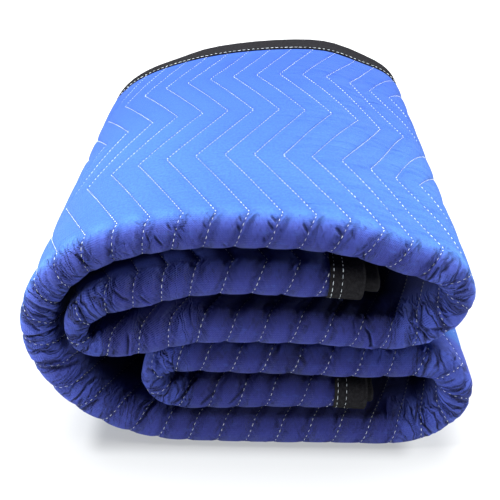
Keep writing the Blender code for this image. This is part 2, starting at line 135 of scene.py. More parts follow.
# The main creases: half width and depth, then points as distance along the strip and across the
# sheet, all in millimetres.
CREASES = (
    # front fold of the upper inner layer
    (1.2, 0.7, (174, 480), (171, 488)), (1.0, 0.7, (167, 489), (165, 494)),
    (1.3, 1.6, (177, 486), (173, 493), (170, 500)), (1.3, 1.6, (197, 479), (191, 486), (185, 489)),
    (1.1, 1.0, (202, 484), (198, 492)), (1.1, 0.8, (209, 481), (205, 485)), (1.1, 1.0, (205, 487), (207, 494)),
    (1.3, 1.6, (225, 481), (228, 488), (233, 495)),
    # upper left bend and the layer under it
    (1.0, 0.7, (252, 492), (257, 487)), (1.1, 0.8, (252, 498), (260, 492)), (1.1, 0.9, (268, 493), (267, 484)),
    (1.1, 0.7, (276, 491), (273, 485)), (1.2, 1.0, (289, 488), (287, 481)),
    (1.4, 1.3, (304, 498), (302, 490), (297, 479)), (1.3, 0.5, (326, 496), (325, 486)),
    (1.0, 0.7, (444, 495), (449, 493)), (1.1, 0.9, (485, 493), (489, 491)), (1.1, 0.5, (484, 500), (486, 494)),
    (1.4, 2.2, (493, 496), (498, 492), (500, 485), (499, 478)), (1.4, 1.6, (502, 484), (496, 478)),
    # upper right bend
    (1.2, 1.2, (534, 490), (536, 485)), (1.2, 1.3, (543, 496), (547, 489), (550, 482)),
    (1.4, 1.7, (537, 496), (543, 490), (544, 482), (548, 475)),
    (1.4, 1.8, (545, 492), (554, 488), (561, 483), (567, 478), (572, 477)), (1.2, 0.9, (554, 484), (560, 478)),
    (1.3, 1.2, (566, 501), (571, 493)), (1.1, 0.8, (564, 496), (568, 490)), (1.1, 0.6, (577, 498), (580, 488)),
    (1.0, 0.6, (567, 492), (575, 488)), (1.3, 1.4, (589, 493), (587, 488), (589, 482)),
    (1.3, 1.4, (595, 482), (596, 489), (596, 495)), (1.1, 1.0, (600, 484), (599, 491)),
    (1.2, 1.2, (607, 485), (607, 491), (606, 497)), (1.1, 0.8, (617, 481), (621, 488)),
    (1.1, 0.9, (626, 482), (630, 487)), (1.4, 1.7, (624, 484), (625, 490), (625, 500)),
    (1.2, 1.2, (629, 490), (634, 498)),
    # front edge of the top layer, at its seams
    (1.2, 1.1, (656, 476), (652, 480)), (1.1, 0.9, (656, 483), (652, 482)), (1.2, 1.1, (684, 490), (679, 498)),
    (1.3, 0.7, (698, 480), (692, 485)), (1.5, 1.6, (709, 479), (703, 483)), (1.2, 1.0, (710, 488), (706, 490)),
    (1.0, 0.8, (728, 476), (725, 479)), (1.4, 1.4, (733, 478), (728, 484)), (1.4, 1.6, (757, 474), (752, 479)),
    (1.4, 1.5, (759, 478), (754, 484)), (1.2, 0.9, (762, 487), (759, 492)), (1.2, 1.2, (780, 474), (778, 480)),
    (1.1, 1.0, (782, 480), (779, 485)), (1.3, 1.0, (793, 492), (789, 498)), (1.2, 1.0, (807, 479), (804, 483)),
    (1.1, 0.6, (816, 489), (812, 496)), (1.1, 0.9, (825, 480), (818, 486)), (1.1, 0.9, (829, 480), (823, 487)),
    (1.0, 0.7, (828, 484), (822, 489)), (1.3, 1.4, (834, 478), (830, 483)), (1.3, 1.6, (844, 484), (839, 492)),
    (1.2, 1.0, (850, 481), (848, 489)), (1.0, 0.7, (858, 480), (853, 485)), (1.2, 0.7, (860, 472), (851, 478)),
    (1.1, 0.8, (873, 490), (866, 496)), (1.0, 0.8, (871, 485), (864, 486)), (1.1, 1.0, (884, 492), (880, 500)),
    # large left bend
    (1.3, 1.6, (906, 481), (905, 486), (904, 493)), (1.1, 1.0, (912, 494), (907, 501)),
    (1.1, 1.0, (920, 491), (916, 499)), (1.2, 0.6, (925, 486), (925, 495)), (1.2, 1.3, (939, 491), (944, 501)),
    (1.1, 0.9, (947, 487), (950, 497)), (1.2, 1.2, (954, 490), (956, 496), (966, 512)),
    (1.2, 1.4, (960, 488), (965, 495), (978, 508)), (1.5, 1.9, (963, 480), (963, 487), (966, 496)),
    (1.3, 1.4, (968, 485), (971, 492), (980, 500)), (1.5, 1.7, (978, 480), (982, 486), (989, 492)),
    (1.4, 1.9, (995, 480), (992, 489), (990, 496), (994, 510)), (1.4, 1.7, (1004, 475), (1006, 485), (1011, 497)),
    (1.1, 0.6, (1006, 490), (1001, 496)), (2.0, 1.8, (1019, 476), (1020, 489), (1026, 498)),
    (1.5, 2.1, (1023, 476), (1026, 489), (1033, 497), (1044, 513)), (1.2, 1.0, (1022, 498), (1030, 512)),
    (1.2, 1.0, (1062, 501), (1070, 515)), (1.2, 0.8, (1063, 484), (1062, 499)),
    (1.1, 0.7, (1068, 484), (1066, 492)), (1.1, 0.7, (1071, 478), (1068, 489)),
    (1.3, 1.4, (1074, 478), (1075, 488), (1080, 497)), (1.3, 1.1, (1119, 487), (1126, 498), (1132, 513)),
    # bottom layer and lower right bend
    (1.8, 0.6, (1338, 525), (1336, 500)), (1.6, 0.7, (1362, 504), (1363, 492)),
    (1.5, 0.8, (1371, 502), (1369, 492)), (1.4, 1.5, (1370, 494), (1372, 488), (1372, 478)),
    (1.1, 0.9, (1384, 494), (1384, 486)), (1.1, 0.8, (1392, 496), (1392, 490)),
    (1.3, 1.5, (1405, 495), (1405, 489), (1402, 480)), (1.4, 1.6, (1417, 496), (1412, 489), (1408, 481)),
    (1.4, 1.9, (1434, 512), (1429, 498), (1424, 491), (1420, 483)), (1.1, 0.9, (1434, 494), (1432, 485)),
    (1.1, 0.8, (1452, 486), (1447, 478)), (1.3, 1.0, (1498, 484), (1492, 476)),
    # lower left bend and lower inner layer
    (1.3, 1.5, (1671, 483), (1666, 489)), (1.1, 1.2, (1673, 487), (1666, 492)),
    (1.2, 1.3, (1686, 478), (1684, 486), (1685, 492)), (0.9, 0.7, (1689, 480), (1688, 486)),
    (0.9, 0.7, (1692, 481), (1690, 489)), (0.9, 0.7, (1696, 480), (1691, 490)),
    (1.0, 0.9, (1690, 488), (1684, 492)), (1.0, 0.8, (1694, 489), (1690, 499)),
    (1.4, 1.7, (1721, 484), (1732, 495), (1744, 509)), (1.3, 1.2, (1744, 485), (1759, 496)),
    (1.3, 1.1, (1767, 484), (1784, 498)),
    # soft ripples at the right of the top
    (1.6, 0.6, (712, 437), (693, 430), (679, 428), (667, 429)), (1.5, 0.5, (685, 435), (666, 426), (653, 426)),
    (1.5, 0.6, (669, 431), (653, 431), (640, 430)), (1.4, 0.4, (662, 443), (643, 437)),
    (1.4, 0.4, (681, 441), (664, 447)), (1.5, 0.6, (644, 422), (624, 431)), (1.4, 0.5, (638, 412), (618, 431)),
    (1.4, 0.4, (652, 441), (631, 447)), (1.5, 0.4, (689, 359), (678, 352), (668, 355)),
    (1.4, 0.4, (658, 346), (641, 349)), (1.4, 0.3, (655, 282), (637, 282)), (1.4, 0.4, (634, 286), (617, 291)),
    (1.4, 0.4, (642, 343), (629, 360)), (1.4, 0.5, (638, 369), (621, 381)), (1.4, 0.5, (638, 394), (620, 401)),
    (1.4, 0.3, (665, 237), (645, 239)), (1.4, 0.4, (645, 243), (626, 252)), (1.4, 0.3, (650, 193), (629, 200)),
    (1.4, 0.4, (628, 197), (613, 213)), (1.4, 0.3, (628, 155), (612, 157)), (1.4, 0.4, (626, 219), (611, 227)),
    # soft ripples at the left of the top
    (1.5, 0.4, (924, 459), (900, 475)), (1.4, 0.3, (918, 444), (899, 453)),
)
LINE_SAMPLES = 3000

# The sheet's four plies, as in the solids.
PLIES = 4
DEPTH = 0.488
PLY_HALF = 0.0030
EDGE_HALF = 0.0017
INNER_EDGE_STEP = 0.006
BACK_FOLD_STEP = 0.004
UPPER_REACH = 0.013
LOWER_REACH = 0.006
TAPE_WIDTH = 0.027
TAPE_RAMP = 0.008
CLEARANCE = 0.0003
END_MARGIN = 0.0026
FULL_PITCH = 0.0066

# At the back of the top layer the first ply's bound edge stands a little up.
EDGE_LIFT = 0.0045
LIFT_DEPTH = 0.048
LIFT_FROM, LIFT_TO, LIFT_FADE = 0.600, 0.880, 0.060

# Quilting: zigzag seams, and how far over the outer plies they run before the folds at the back.
ZIGZAG_LEG = 0.1150
ZIGZAG_SWING = 0.0485
FIRST_CORNER = 0.1250
QUILTED_END = 0.595

# Where the bottom layer lies on the floor and its padding rises less, as distances along the strip.
# Cloth under the lying height is pressed down to this share of it.
LYING_FROM, LYING_TO, LYING_FADE = 1.14, 1.42, 0.06
LYING_HEIGHT, LYING_SHARE = 0.0009, 0.3

# Where the solids' own middle line lies in the frame.
FRAME_SHIFT = np.array([-0.0034221, -0.2465027, 0.0])

# The creases reach this far across the sheet, and one of this depth is painted in full. The soft
# swelling has cells along the strip, cells across the sheet and its height.
CREASED_TO = 0.62
DEEP_CREASE = 0.001
SWELLINGS = ((0.055, 0.07, 0.00025), (0.016, 0.022, 0.00010))
FAINT_RIPPLES = 1300

# Distance between two points along a seam, how near a seam comes to a tape, how low its thread lies
# on the floor, and the seams' places on a tape, in from its inner edge.
SEAM_STEP = 0.0024
TAPE_GAP = 0.001
THREAD_FLOOR = 0.0003
TAPE_SEAMS = 0.0028, 0.0100
STITCH_SIZES = "Pitch", "Stitch Length", "Thread Width"
STITCH_SEED = 5

# Weaves, from one rib to the next, and the highlight painted on the tops of the crepe.
TWILL_RIB = 0.0019
TWILL_THREAD = 0.0014
TAPE_RIB = 0.0016
PAINTED_CREPE_HIGHLIGHT = (0.07, 0.17, 0.60)

# The stage: half of the ground under the blanket, round which the floor's glow is lowered as a painted shadow, and the
# camera's place, tilt and turn.
FOOTPRINT = 0.125, 0.240
CAMERA_SPOT = (0.01213, -0.81597, 0.51178)
CAMERA_TILT = 29.0
CAMERA_TURN = 1.1


# ---- settings


class FabricSettings(bpy.types.PropertyGroup):
    puff: FloatProperty(
        name="Puff", description="Rise of the padding between two seams", default=0.0008, unit="LENGTH"
    )
    seam_pull: FloatProperty(
        name="Seam Pull", description="How far the seams draw the cloth in", default=0.0006, unit="LENGTH"
    )
    crease_share: FloatProperty(
        name="Crease Share", description="Share of the depth of the main creases", default=1.35, subtype="FACTOR"
    )
    wrinkle_depth: FloatProperty(
        name="Wrinkle Depth", description="Depth of the deepest of the small wrinkles", default=0.0009, unit="LENGTH"
    )
    wrinkle_seed: IntProperty(name="Wrinkle Seed", description="Seed for where the small wrinkles fall", default=11)
    # painted light: one cloth blue in three copies. The open faces' colour is lit from overhead, the far colour is a
    # dimmer copy for the back, and the fold colour is a copy in painted shade
    colour: FloatVectorProperty(
        name="Cloth Colour", description="Colour of the open faces towards the front folds",
        subtype="COLOR", size=3, default=(0.0318, 0.104, 0.360),
    )
    dimmer_far_colour: FloatVectorProperty(
        name="Far Cloth Colour", description="Colour of the open faces towards the back",
        subtype="COLOR", size=3, default=(0.0165, 0.064, 0.310),
    )
    shaded_fold_colour: FloatVectorProperty(
        name="Fold Colour", description="Colour along the folds",
        subtype="COLOR", size=3, default=(0.0228, 0.0290, 0.174),
    )


class StitchSettings(bpy.types.PropertyGroup):
    pitch: FloatProperty(
        name="Pitch", description="Distance from one seam stitch to the next", default=0.0052, unit="LENGTH"
    )
    length: FloatProperty(
        name="Stitch Length", description="Length of thread that shows of each stitch", default=0.0032, unit="LENGTH"
    )
    width: FloatProperty(
        name="Thread Width", description="Thickness of the sewing thread", default=0.00062, unit="LENGTH"
    )
    colour: FloatVectorProperty(
        name="Thread Colour", description="Colour of the sewing thread",
        subtype="COLOR", size=3, default=(0.80, 0.90, 1.0),
    )


class TapeSettings(bpy.types.PropertyGroup):
    thickness: FloatProperty(
        name="Tape Thickness", description="Thickness of the binding tape", default=0.0009, unit="LENGTH"
    )
    colour: FloatVectorProperty(
        name="Tape Colour", description="Colour of the binding tape",
        subtype="COLOR", size=3, default=(0.0105, 0.0105, 0.0118),
    )


class StageSettings(bpy.types.PropertyGroup):
    key: FloatProperty(
        name="Overhead Light", description="Power of the wide soft light overhead", default=900.0, unit="POWER"
    )
    room: FloatProperty(name="Room Light", description="Brightness of the room all round", default=0.04)
    floor: FloatProperty(
        name="Floor Grey", description="Share of the light that the floor sends back", default=0.20, subtype="FACTOR"
    )
    glow: FloatProperty(name="Floor Glow", description="Light from under the pale floor", default=0.69)
    side: FloatProperty(
        name="Side Light", description="Power of the soft light from each side", default=50.0, unit="POWER"
    )
    lens: FloatProperty(name="Lens", description="Focal length of the camera on a 36 mm sensor", default=62.06)


# ---- the strip and the sheet's path, as in the solids


def natural_spline(knots, values, at):
    """Cubic spline through values at knots, straight at its two ends."""
    gap = np.diff(knots)
    rise = np.diff(values, axis=0) / gap[:, None]
    matrix = np.eye(len(knots))
    right = np.zeros_like(values)
    for i in range(1, len(knots) - 1):
        matrix[i, i - 1 : i + 2] = gap[i - 1], 2 * (gap[i - 1] + gap[i]), gap[i]
        right[i] = 6 * (rise[i] - rise[i - 1])
    bend = np.linalg.solve(matrix, right)
    cell = np.clip(np.searchsorted(knots, at) - 1, 0, len(knots) - 2)
    width = gap[cell][:, None]
    after = (at - knots[cell])[:, None] / width
    before = 1 - after
    curve = before * values[cell] + after * values[cell + 1]
    sag = (before**3 - before) * bend[cell] + (after**3 - after) * bend[cell + 1]
    return curve + sag * width**2 / 6


def rolled_line():
    table = np.array(ROLL) * MM
    steps = np.linalg.norm(np.diff(table[:, :2], axis=0), axis=1)
    knots = np.concatenate([[0], np.cumsum(np.sqrt(steps))])
    fine = natural_spline(knots, table, np.linspace(0, knots[-1], LINE_SAMPLES))
    along = np.linalg.norm(np.diff(fine[:, :2], axis=0), axis=1)
    return np.concatenate([[0], np.cumsum(along)]), fine


LENGTHS, LINE = rolled_line()
STRIP = LENGTHS[-1]


def line_at(u):
    inside = np.clip(u, 0, STRIP)
    found = np.stack([np.interp(inside, LENGTHS, column) for column in LINE.T], axis=-1)
    for end, inner, past in ((0, 20, np.maximum(-u, 0)), (-1, -21, np.maximum(u - STRIP, 0))):
        way = LINE[end, :2] - LINE[inner, :2]
        found[..., :2] += past[..., None] * way / np.linalg.norm(way)
    return found


def place(u, y, n):
    """Points at strip distance u and depth y, n out from the middle line towards the big bends' outside."""
    step = 0.0015
    share = np.clip(y / DEPTH, 0, 1.02) ** 1.5
    spots = []
    for shift in (-step, 0, step):
        found = line_at(u + shift)
        spots.append(np.stack([found[..., 0], found[..., 1] + share * found[..., 4]], axis=-1))
    way = spots[2] - spots[0]
    way /= np.linalg.norm(way, axis=-1, keepdims=True)
    made = [spots[1][..., 0] + n * way[..., 1], y, spots[1][..., 1] - n * way[..., 0]]
    return np.stack(made, axis=-1) + FRAME_SHIFT


PLY_1, FRONT_FOLD, PLY_2, BACK_FOLD, PLY_3, INNER_FOLD, PLY_4 = range(7)


def run_lengths(pitch, setback):
    front = setback + 2 * pitch
    back = DEPTH + 0.4 * setback
    fold = back - BACK_FOLD_STEP - pitch
    return [
        back - front, 1.5 * np.pi * pitch, fold - front, 0.5 * np.pi * pitch,
        fold - front, 0.5 * np.pi * pitch, back - INNER_EDGE_STEP - front,
    ]


USUAL = run_lengths(7.2 * MM, 4 * MM)
STARTS = np.concatenate([[0], np.cumsum(USUAL)])


def row_at(b):
    run = int(np.clip(np.searchsorted(STARTS, b, side="right") - 1, 0, 6))
    return run, (b - STARTS[run]) / USUAL[run]


def across(row):
    return STARTS[row[0]] + row[1] * USUAL[row[0]]


def eased(share):
    share = np.clip(share, 0, 1)
    return share * share * (3 - 2 * share)


def edge_lift(u, b):
    """How far the first ply stands up near its bound edge, at distance b from it, on the top layer."""
    along = eased((u - LIFT_FROM) / LIFT_FADE) * eased((LIFT_TO - u) / LIFT_FADE)
    return EDGE_LIFT * along * np.clip(1 - b / LIFT_DEPTH, 0, 1) ** 2


def sheet_points(u, row, off):
    """Points on a row of the sheet, off from the sheet's own middle towards its outer face."""
    run, share = row
    columns = line_at(u)
    p, setback = columns[..., 2] / PLIES, columns[..., 3]
    off = off * np.minimum(p / FULL_PITCH, 1)
    front = setback + 2 * p
    back = DEPTH + 0.4 * setback
    fold = back - BACK_FOLD_STEP - p
    turn = np.pi * share
    sine, cosine = np.sin(turn), np.cos(turn)
    if run == PLY_1:
        lift = edge_lift(u, max(share, 0) * USUAL[PLY_1])
        y, n, dy, dn = back - share * (back - front), 1.5 * p + lift, 0, 1
    elif run == FRONT_FOLD:
        y, n, dy, dn = front - 1.5 * p * sine, 1.5 * p * cosine, -sine, cosine
    elif run == PLY_2:
        y, n, dy, dn = front + share * (fold - front), -1.5 * p, 0, -1
    elif run == BACK_FOLD:
        y, n, dy, dn = fold + 0.5 * p * sine, -p - 0.5 * p * cosine, sine, -cosine
    elif run == PLY_3:
        y, n, dy, dn = fold - share * (fold - front), -0.5 * p, 0, 1
    elif run == INNER_FOLD:
        y, n, dy, dn = front - 0.5 * p * sine, -0.5 * p * cosine, sine, cosine
    else:
        y, n, dy, dn = front + share * (back - INNER_EDGE_STEP - front), 0.5 * p, 0, -1
    return place(u, y + off * dy, n + off * dn)


def zigzag(b):
    """Sideways shift of the quilting seams at distance b across the sheet."""
    phase = (b - FIRST_CORNER) / ZIGZAG_LEG
    return ZIGZAG_SWING * (0.5 - abs((phase + 1) % 2 - 1))


SEAM_NUMBERS, SEAM_PLACES = np.array(SEAMS).T * [[1], [MM]]
SEAM_SPACING = np.median(np.diff(SEAM_PLACES) / np.diff(SEAM_NUMBERS))


def seam_at(number):
    """Distance along the strip of a seam, or of a place between two, before its zigzag."""
    return np.interp(number, SEAM_NUMBERS, SEAM_PLACES)


def seam_number(u):
    return np.interp(u, SEAM_PLACES, SEAM_NUMBERS)


def strip_ends(row):
    """Where a row starts and stops along the strip, with the inner plies standing out."""
    path = np.clip((across(row) - STARTS[PLY_2]) / (STARTS[INNER_FOLD] - STARTS[PLY_2]), 0, 1)
    grown = path * path * (3 - 2 * path)
    return -UPPER_REACH * grown, STRIP + LOWER_REACH * grown


def bending():
    """How sharply the strip turns at each sample of its middle line, in radians per metre."""
    way = np.gradient(LINE[:, :2], axis=0)
    turning = np.unwrap(np.arctan2(way[:, 1], way[:, 0]))
    return np.gradient(turning, LENGTHS)


BENDING = bending()


def plain_lines(turn_step=0.16, length_step=0.03):
    """Strip distances that follow the bends with few steps."""
    spent = np.cumsum((np.abs(BENDING) / turn_step + 1 / length_step) * np.gradient(LENGTHS))
    spent -= spent[0]
    return np.interp(np.linspace(0, spent[-1], int(np.ceil(spent[-1])) + 1), spent, LENGTHS)


PLAIN = plain_lines()


def edge_columns(row):
    first, last = strip_ends(row)
    steps = np.array([0, TAPE_WIDTH, TAPE_WIDTH + TAPE_RAMP])
    return first + steps, last - steps[::-1]


# ---- creases, drawn on the flat sheet


class Relief:
    """A height field on the flat sheet: distance along the strip by distance across it."""

    STEP = 0.001
    MARGIN = 0.03

    def __init__(self, across_to):
        self.shape = (int((STRIP + 2 * self.MARGIN) / self.STEP), int(across_to / self.STEP) + 1)
        self.height = np.zeros(self.shape)

    def stroke(self, u, b, angle, length, width, depth, curl=0.0, shoulder=0.35):
        """One soft trough with raised shoulders. The angle is from the strip's direction."""
        reach = length / 2 + 4 * width
        low = np.array([u + self.MARGIN - reach, b - reach]) / self.STEP
        high = np.array([u + self.MARGIN + reach, b + reach]) / self.STEP
        i0, j0 = np.clip(low.astype(int), 0, self.shape)
        i1, j1 = np.clip(high.astype(int) + 1, 0, self.shape)
        if i1 <= i0 or j1 <= j0:
            return
        du = (np.arange(i0, i1) * self.STEP - self.MARGIN - u)[:, None]
        db = (np.arange(j0, j1) * self.STEP - b)[None, :]
        along = du * math.cos(angle) + db * math.sin(angle)
        aside = -du * math.sin(angle) + db * math.cos(angle) + curl * along**2 / length
        fade = np.clip(1 - (2 * along / length) ** 2, 0, 1) ** 2
        trough = -np.exp(-((aside / width) ** 2))
        ridge = shoulder * np.exp(-(((np.abs(aside) - 2.1 * width) / width) ** 2))
        self.height[i0:i1, j0:j1] += depth * fade * (trough + ridge)

    def trough(self, points, width, depth, shoulder=0.30):
        """A soft trough along a bent line, deepest in its middle, with raised shoulders."""
        points = np.asarray(points, float)
        reach = 4.5 * width
        low = (points.min(axis=0) - reach + [self.MARGIN, 0]) / self.STEP
        high = (points.max(axis=0) + reach + [self.MARGIN, 0]) / self.STEP
        i0, j0 = np.clip(low.astype(int), 0, self.shape)
        i1, j1 = np.clip(high.astype(int) + 1, 0, self.shape)
        du = (np.arange(i0, i1) * self.STEP - self.MARGIN)[:, None]
        db = (np.arange(j0, j1) * self.STEP)[None, :]
        lengths = np.linalg.norm(np.diff(points, axis=0), axis=1)
        total, gone = lengths.sum(), 0.0
        nearest = np.full((i1 - i0, j1 - j0), np.inf)
        along = np.zeros_like(nearest)
        for start, end, length in zip(points[:-1], points[1:], lengths):
            way = (end - start) / length
            share = np.clip((du - start[0]) * way[0] + (db - start[1]) * way[1], 0, length)
            gap = np.hypot(du - start[0] - share * way[0], db - start[1] - share * way[1])
            closer = gap < nearest
            nearest = np.where(closer, gap, nearest)
            along = np.where(closer, (gone + share) / total, along)
            gone += length
        fade = np.sqrt(np.clip(4 * along * (1 - along), 0, 1))
        trough = -np.exp(-((nearest / width) ** 2))
        ridge = shoulder * np.exp(-(((nearest - 2.2 * width) / width) ** 2))
        self.height[i0:i1, j0:j1] += depth * fade * (trough + ridge)

    def waves(self, draw, cell_u, cell_b, size):
        """Smooth random swelling with cells of this size."""
        rows = int(self.shape[0] * self.STEP / cell_u) + 3
        columns = int(self.shape[1] * self.STEP / cell_b) + 3
        knots = draw.normal(size=(rows, columns))
        u = np.arange(self.shape[0]) * self.STEP / cell_u
        b = np.arange(self.shape[1]) * self.STEP / cell_b
        i, j = u.astype(int), b.astype(int)
        s, t = (u - i)[:, None], (b - j)[None, :]
        s, t = s * s * (3 - 2 * s), t * t * (3 - 2 * t)
        mixed = (1 - s) * (1 - t) * knots[i][:, j] + s * (1 - t) * knots[i + 1][:, j]
        mixed += (1 - s) * t * knots[i][:, j + 1] + s * t * knots[i + 1][:, j + 1]
        self.height += size * mixed

    def at(self, u, b):
        x = np.clip((u + self.MARGIN) / self.STEP, 0, self.shape[0] - 1.001)
        y = np.clip(b / self.STEP, 0, self.shape[1] - 1.001) + 0 * x
        i, j = x.astype(int), y.astype(int)
        s, t = x - i, y - j
        h = self.height
        top = h[i, j] * (1 - s) + h[i + 1, j] * s
        return top * (1 - t) + (h[i, j + 1] * (1 - s) + h[i + 1, j + 1] * s) * t


def sharpness(u):
    """0 on flat stretches of the strip, towards 1 in its bends."""
    return np.clip(np.abs(np.interp(u, LENGTHS, BENDING)) / 22, 0, 1)


def creased_sheet(settings):
    """The creases of the outer plies: the main ones from the table, and many small seeded wrinkles."""
    relief = Relief(CREASED_TO)
    for half_width, depth, *points in CREASES:
        relief.trough(np.array(points) * MM, 0.8 * half_width * MM, depth * MM * settings.crease_share)
    draw = np.random.default_rng(settings.wrinkle_seed)
    for swelling in SWELLINGS:
        relief.waves(draw, *swelling)
    add_seam_tucks(relief, draw, settings.wrinkle_depth)
    add_fold_wrinkles(relief, draw, settings.wrinkle_depth)
    add_faint_ripples(relief, draw, settings.wrinkle_depth)
    return relief


def add_seam_tucks(relief, draw, deep):
    """Tucks at each seam, most of them along the front folds' upper edge."""
    start, stop = STARTS[FRONT_FOLD], STARTS[PLY_2]
    for number in np.arange(SEAM_NUMBERS[0], SEAM_NUMBERS[-1] + 1):
        for middle, share, lean in ((start + 0.002, 1.0, 1), (start + 0.014, 0.8, -1), (stop - 0.006, 0.8, 1)):
            for _ in range(2):
                b = middle + draw.normal(0, 0.004)
                side = draw.choice((-1, 1))
                u = seam_at(number) + zigzag(b) + side * draw.uniform(0.001, 0.005)
                angle = math.pi / 2 + side * draw.uniform(0.25, 0.95) * lean
                length, width = draw.uniform(0.007, 0.015), draw.uniform(0.0010, 0.0016)
                depth = share * deep * draw.uniform(0.3, 0.9)
                relief.stroke(u, b, angle, length, width, depth, draw.uniform(-1, 1))


def add_fold_wrinkles(relief, draw, deep):
    """Wrinkles across the front folds, close together in the bends."""
    u = 0.0
    while u < STRIP:
        sharp = float(sharpness(u))
        b = draw.uniform(STARTS[FRONT_FOLD] + 0.002, STARTS[PLY_2] + 0.006)
        length = draw.uniform(0.010, 0.026) * (0.7 + 0.5 * sharp)
        depth = deep * draw.uniform(0.2, 0.6) * (0.4 + 0.9 * sharp)
        angle = math.pi / 2 + draw.normal(0, 0.35)
        relief.stroke(u, b, angle, length, draw.uniform(0.0010, 0.0018), depth, draw.uniform(-1, 1))
        u += draw.uniform(0.003, 0.008) * (1.6 - sharp)


def add_faint_ripples(relief, draw, deep):
    """Faint ripples over the open faces, along the bends and beside the seams."""
    for _ in range(FAINT_RIPPLES):
        u = draw.uniform(0, STRIP)
        b = draw.uniform(0.04, STARTS[FRONT_FOLD] - 0.006)
        sharp = float(sharpness(u))
        leg = 1 if math.floor((b - FIRST_CORNER) / ZIGZAG_LEG) % 2 else -1
        slope = math.atan2(ZIGZAG_LEG, leg * ZIGZAG_SWING)
        angle = slope + draw.normal(0, 0.25) if draw.random() < 0.4 else draw.normal(0, 0.3)
        depth = deep * draw.uniform(0.04, 0.16) * (0.6 + 1.6 * sharp)
        length, width = draw.uniform(0.012, 0.034), draw.uniform(0.0014, 0.0026)
        relief.stroke(u, b, angle, length, width, depth, draw.uniform(-1, 1))


def puffed(share, settings):
    """Height over the sheet's half thickness: share is 0 on a seam and 1 midway between two."""
    return settings.puff * (1 - (1 - share) ** 2.4) - settings.seam_pull * (1 - share) ** 4


# ---- meshes


class Shell:
    """Points, flat-sheet coordinates, seam numbers, crease depths and triangles, gathered piece by piece."""

    def __init__(self):
        self.points, self.marks, self.faces, self.count = [], [], [], 0

    def add(self, points, u=0.0, b=0.0, seam=0.5, crease=0.0, bend=0.0, facing=0.0):
        points = np.asarray(points, float).reshape(-1, 3)
        first = self.count
        self.points.append(points)
        marks = np.zeros((len(points), 6))
        for column, value in enumerate((u, b, seam, crease, bend, facing)):
            marks[:, column] = value
        self.marks.append(marks)
        self.count += len(points)
        return np.arange(first, self.count)

    def zip(self, a, b, a_keys, b_keys):
        """Fills between two rows of points, each in rising order of its keys. A square is cut the short way."""
        a, b = [int(i) for i in a], [int(i) for i in b]
        points, base = self.tail(min(a + b))
        i = j = 0
        while i < len(a) - 1 or j < len(b) - 1:
            if i < len(a) - 1 and j < len(b) - 1 and abs(a_keys[i + 1] - b_keys[j + 1]) < 1e-6:
                one = points[a[i + 1] - base] - points[b[j] - base]
                other = points[b[j + 1] - base] - points[a[i] - base]
                if one @ one <= other @ other:
                    self.faces += [(a[i], a[i + 1], b[j]), (a[i + 1], b[j + 1], b[j])]
                else:
                    self.faces += [(a[i], b[j + 1], b[j]), (a[i], a[i + 1], b[j + 1])]
                i, j = i + 1, j + 1
            elif j == len(b) - 1 or (i < len(a) - 1 and a_keys[i + 1] <= b_keys[j + 1]):
                self.faces.append((a[i], a[i + 1], b[j]))
                i += 1
            else:
                self.faces.append((a[i], b[j + 1], b[j]))
                j += 1

    def tail(self, first):
        """The last points added, back to number first or a little more, and the number of the first of them."""
        kept, start = [], self.count
        for block in reversed(self.points):
            kept.append(block)
            start -= len(block)
            if start <= first:
                break
        return np.concatenate(kept[::-1]), start


def sides_of(face):
    """A triangle's three sides, each with the key that it shares with its neighbour's."""
    a, b, c = face
    for ends in ((a, b), (b, c), (c, a)):
        yield (min(ends), max(ends)), ends


def turned_outwards(points, faces):
    """The faces, all turned the same way round and pointing out."""
    edges = {}
    for number, face in enumerate(faces):
        for key, ends in sides_of(face):
            edges.setdefault(key, []).append((number, ends))
    flip = {0: False}
    waiting = [0]
    while waiting:
        here = waiting.pop()
        for key, ends in sides_of(faces[here]):
            for other, other_ends in edges[key]:
                if other not in flip:
                    flip[other] = flip[here] ^ (ends == other_ends)
                    waiting.append(other)
    turned = np.array([face[::-1] if flip.get(number, False) else face for number, face in enumerate(faces)])
    a, b, c = (points[turned[:, i]] for i in range(3))
    volume = np.einsum("ij,ij->i", a, np.cross(b, c)).sum()
    return turned if volume > 0 else turned[:, ::-1]


def shell_object(name, shell):
    """The shell as an object, with three UV maps.

    flat_sheet is in metres, seam_lanes holds the seam number and the crease depth, and strip_bends
    holds how sharply the strip turns there and how far up the face looks.
    """
    points = np.concatenate(shell.points)
    marks = np.concatenate(shell.marks)
    faces = turned_outwards(points, shell.faces)
    data = bpy.data.meshes.new(name)
    data.vertices.add(len(points))
    data.vertices.foreach_set("co", points.astype(np.float32).ravel())
    data.loops.add(len(faces) * 3)
    data.loops.foreach_set("vertex_index", faces.astype(np.int32).ravel())
    data.polygons.add(len(faces))
    data.polygons.foreach_set("loop_start", np.arange(0, len(faces) * 3, 3, dtype=np.int32))
    data.update(calc_edges=True)
    for layer_name, columns in (("flat_sheet", slice(0, 2)), ("seam_lanes", slice(2, 4)), ("strip_bends", slice(4, 6))):
        layer = data.uv_layers.new(name=layer_name)
        layer.data.foreach_set("uv", marks[faces.ravel(), columns].astype(np.float32).ravel())
    data.validate()
    data.shade_smooth()
    obj = bpy.data.objects.new(name, data)
    bpy.context.scene.collection.objects.link(obj)
    return obj


def between(first, last, step):
    """Even distances from first to last, both included, about a step apart."""
    return np.linspace(first, last, max(2, int(round((last - first) / step)) + 1))


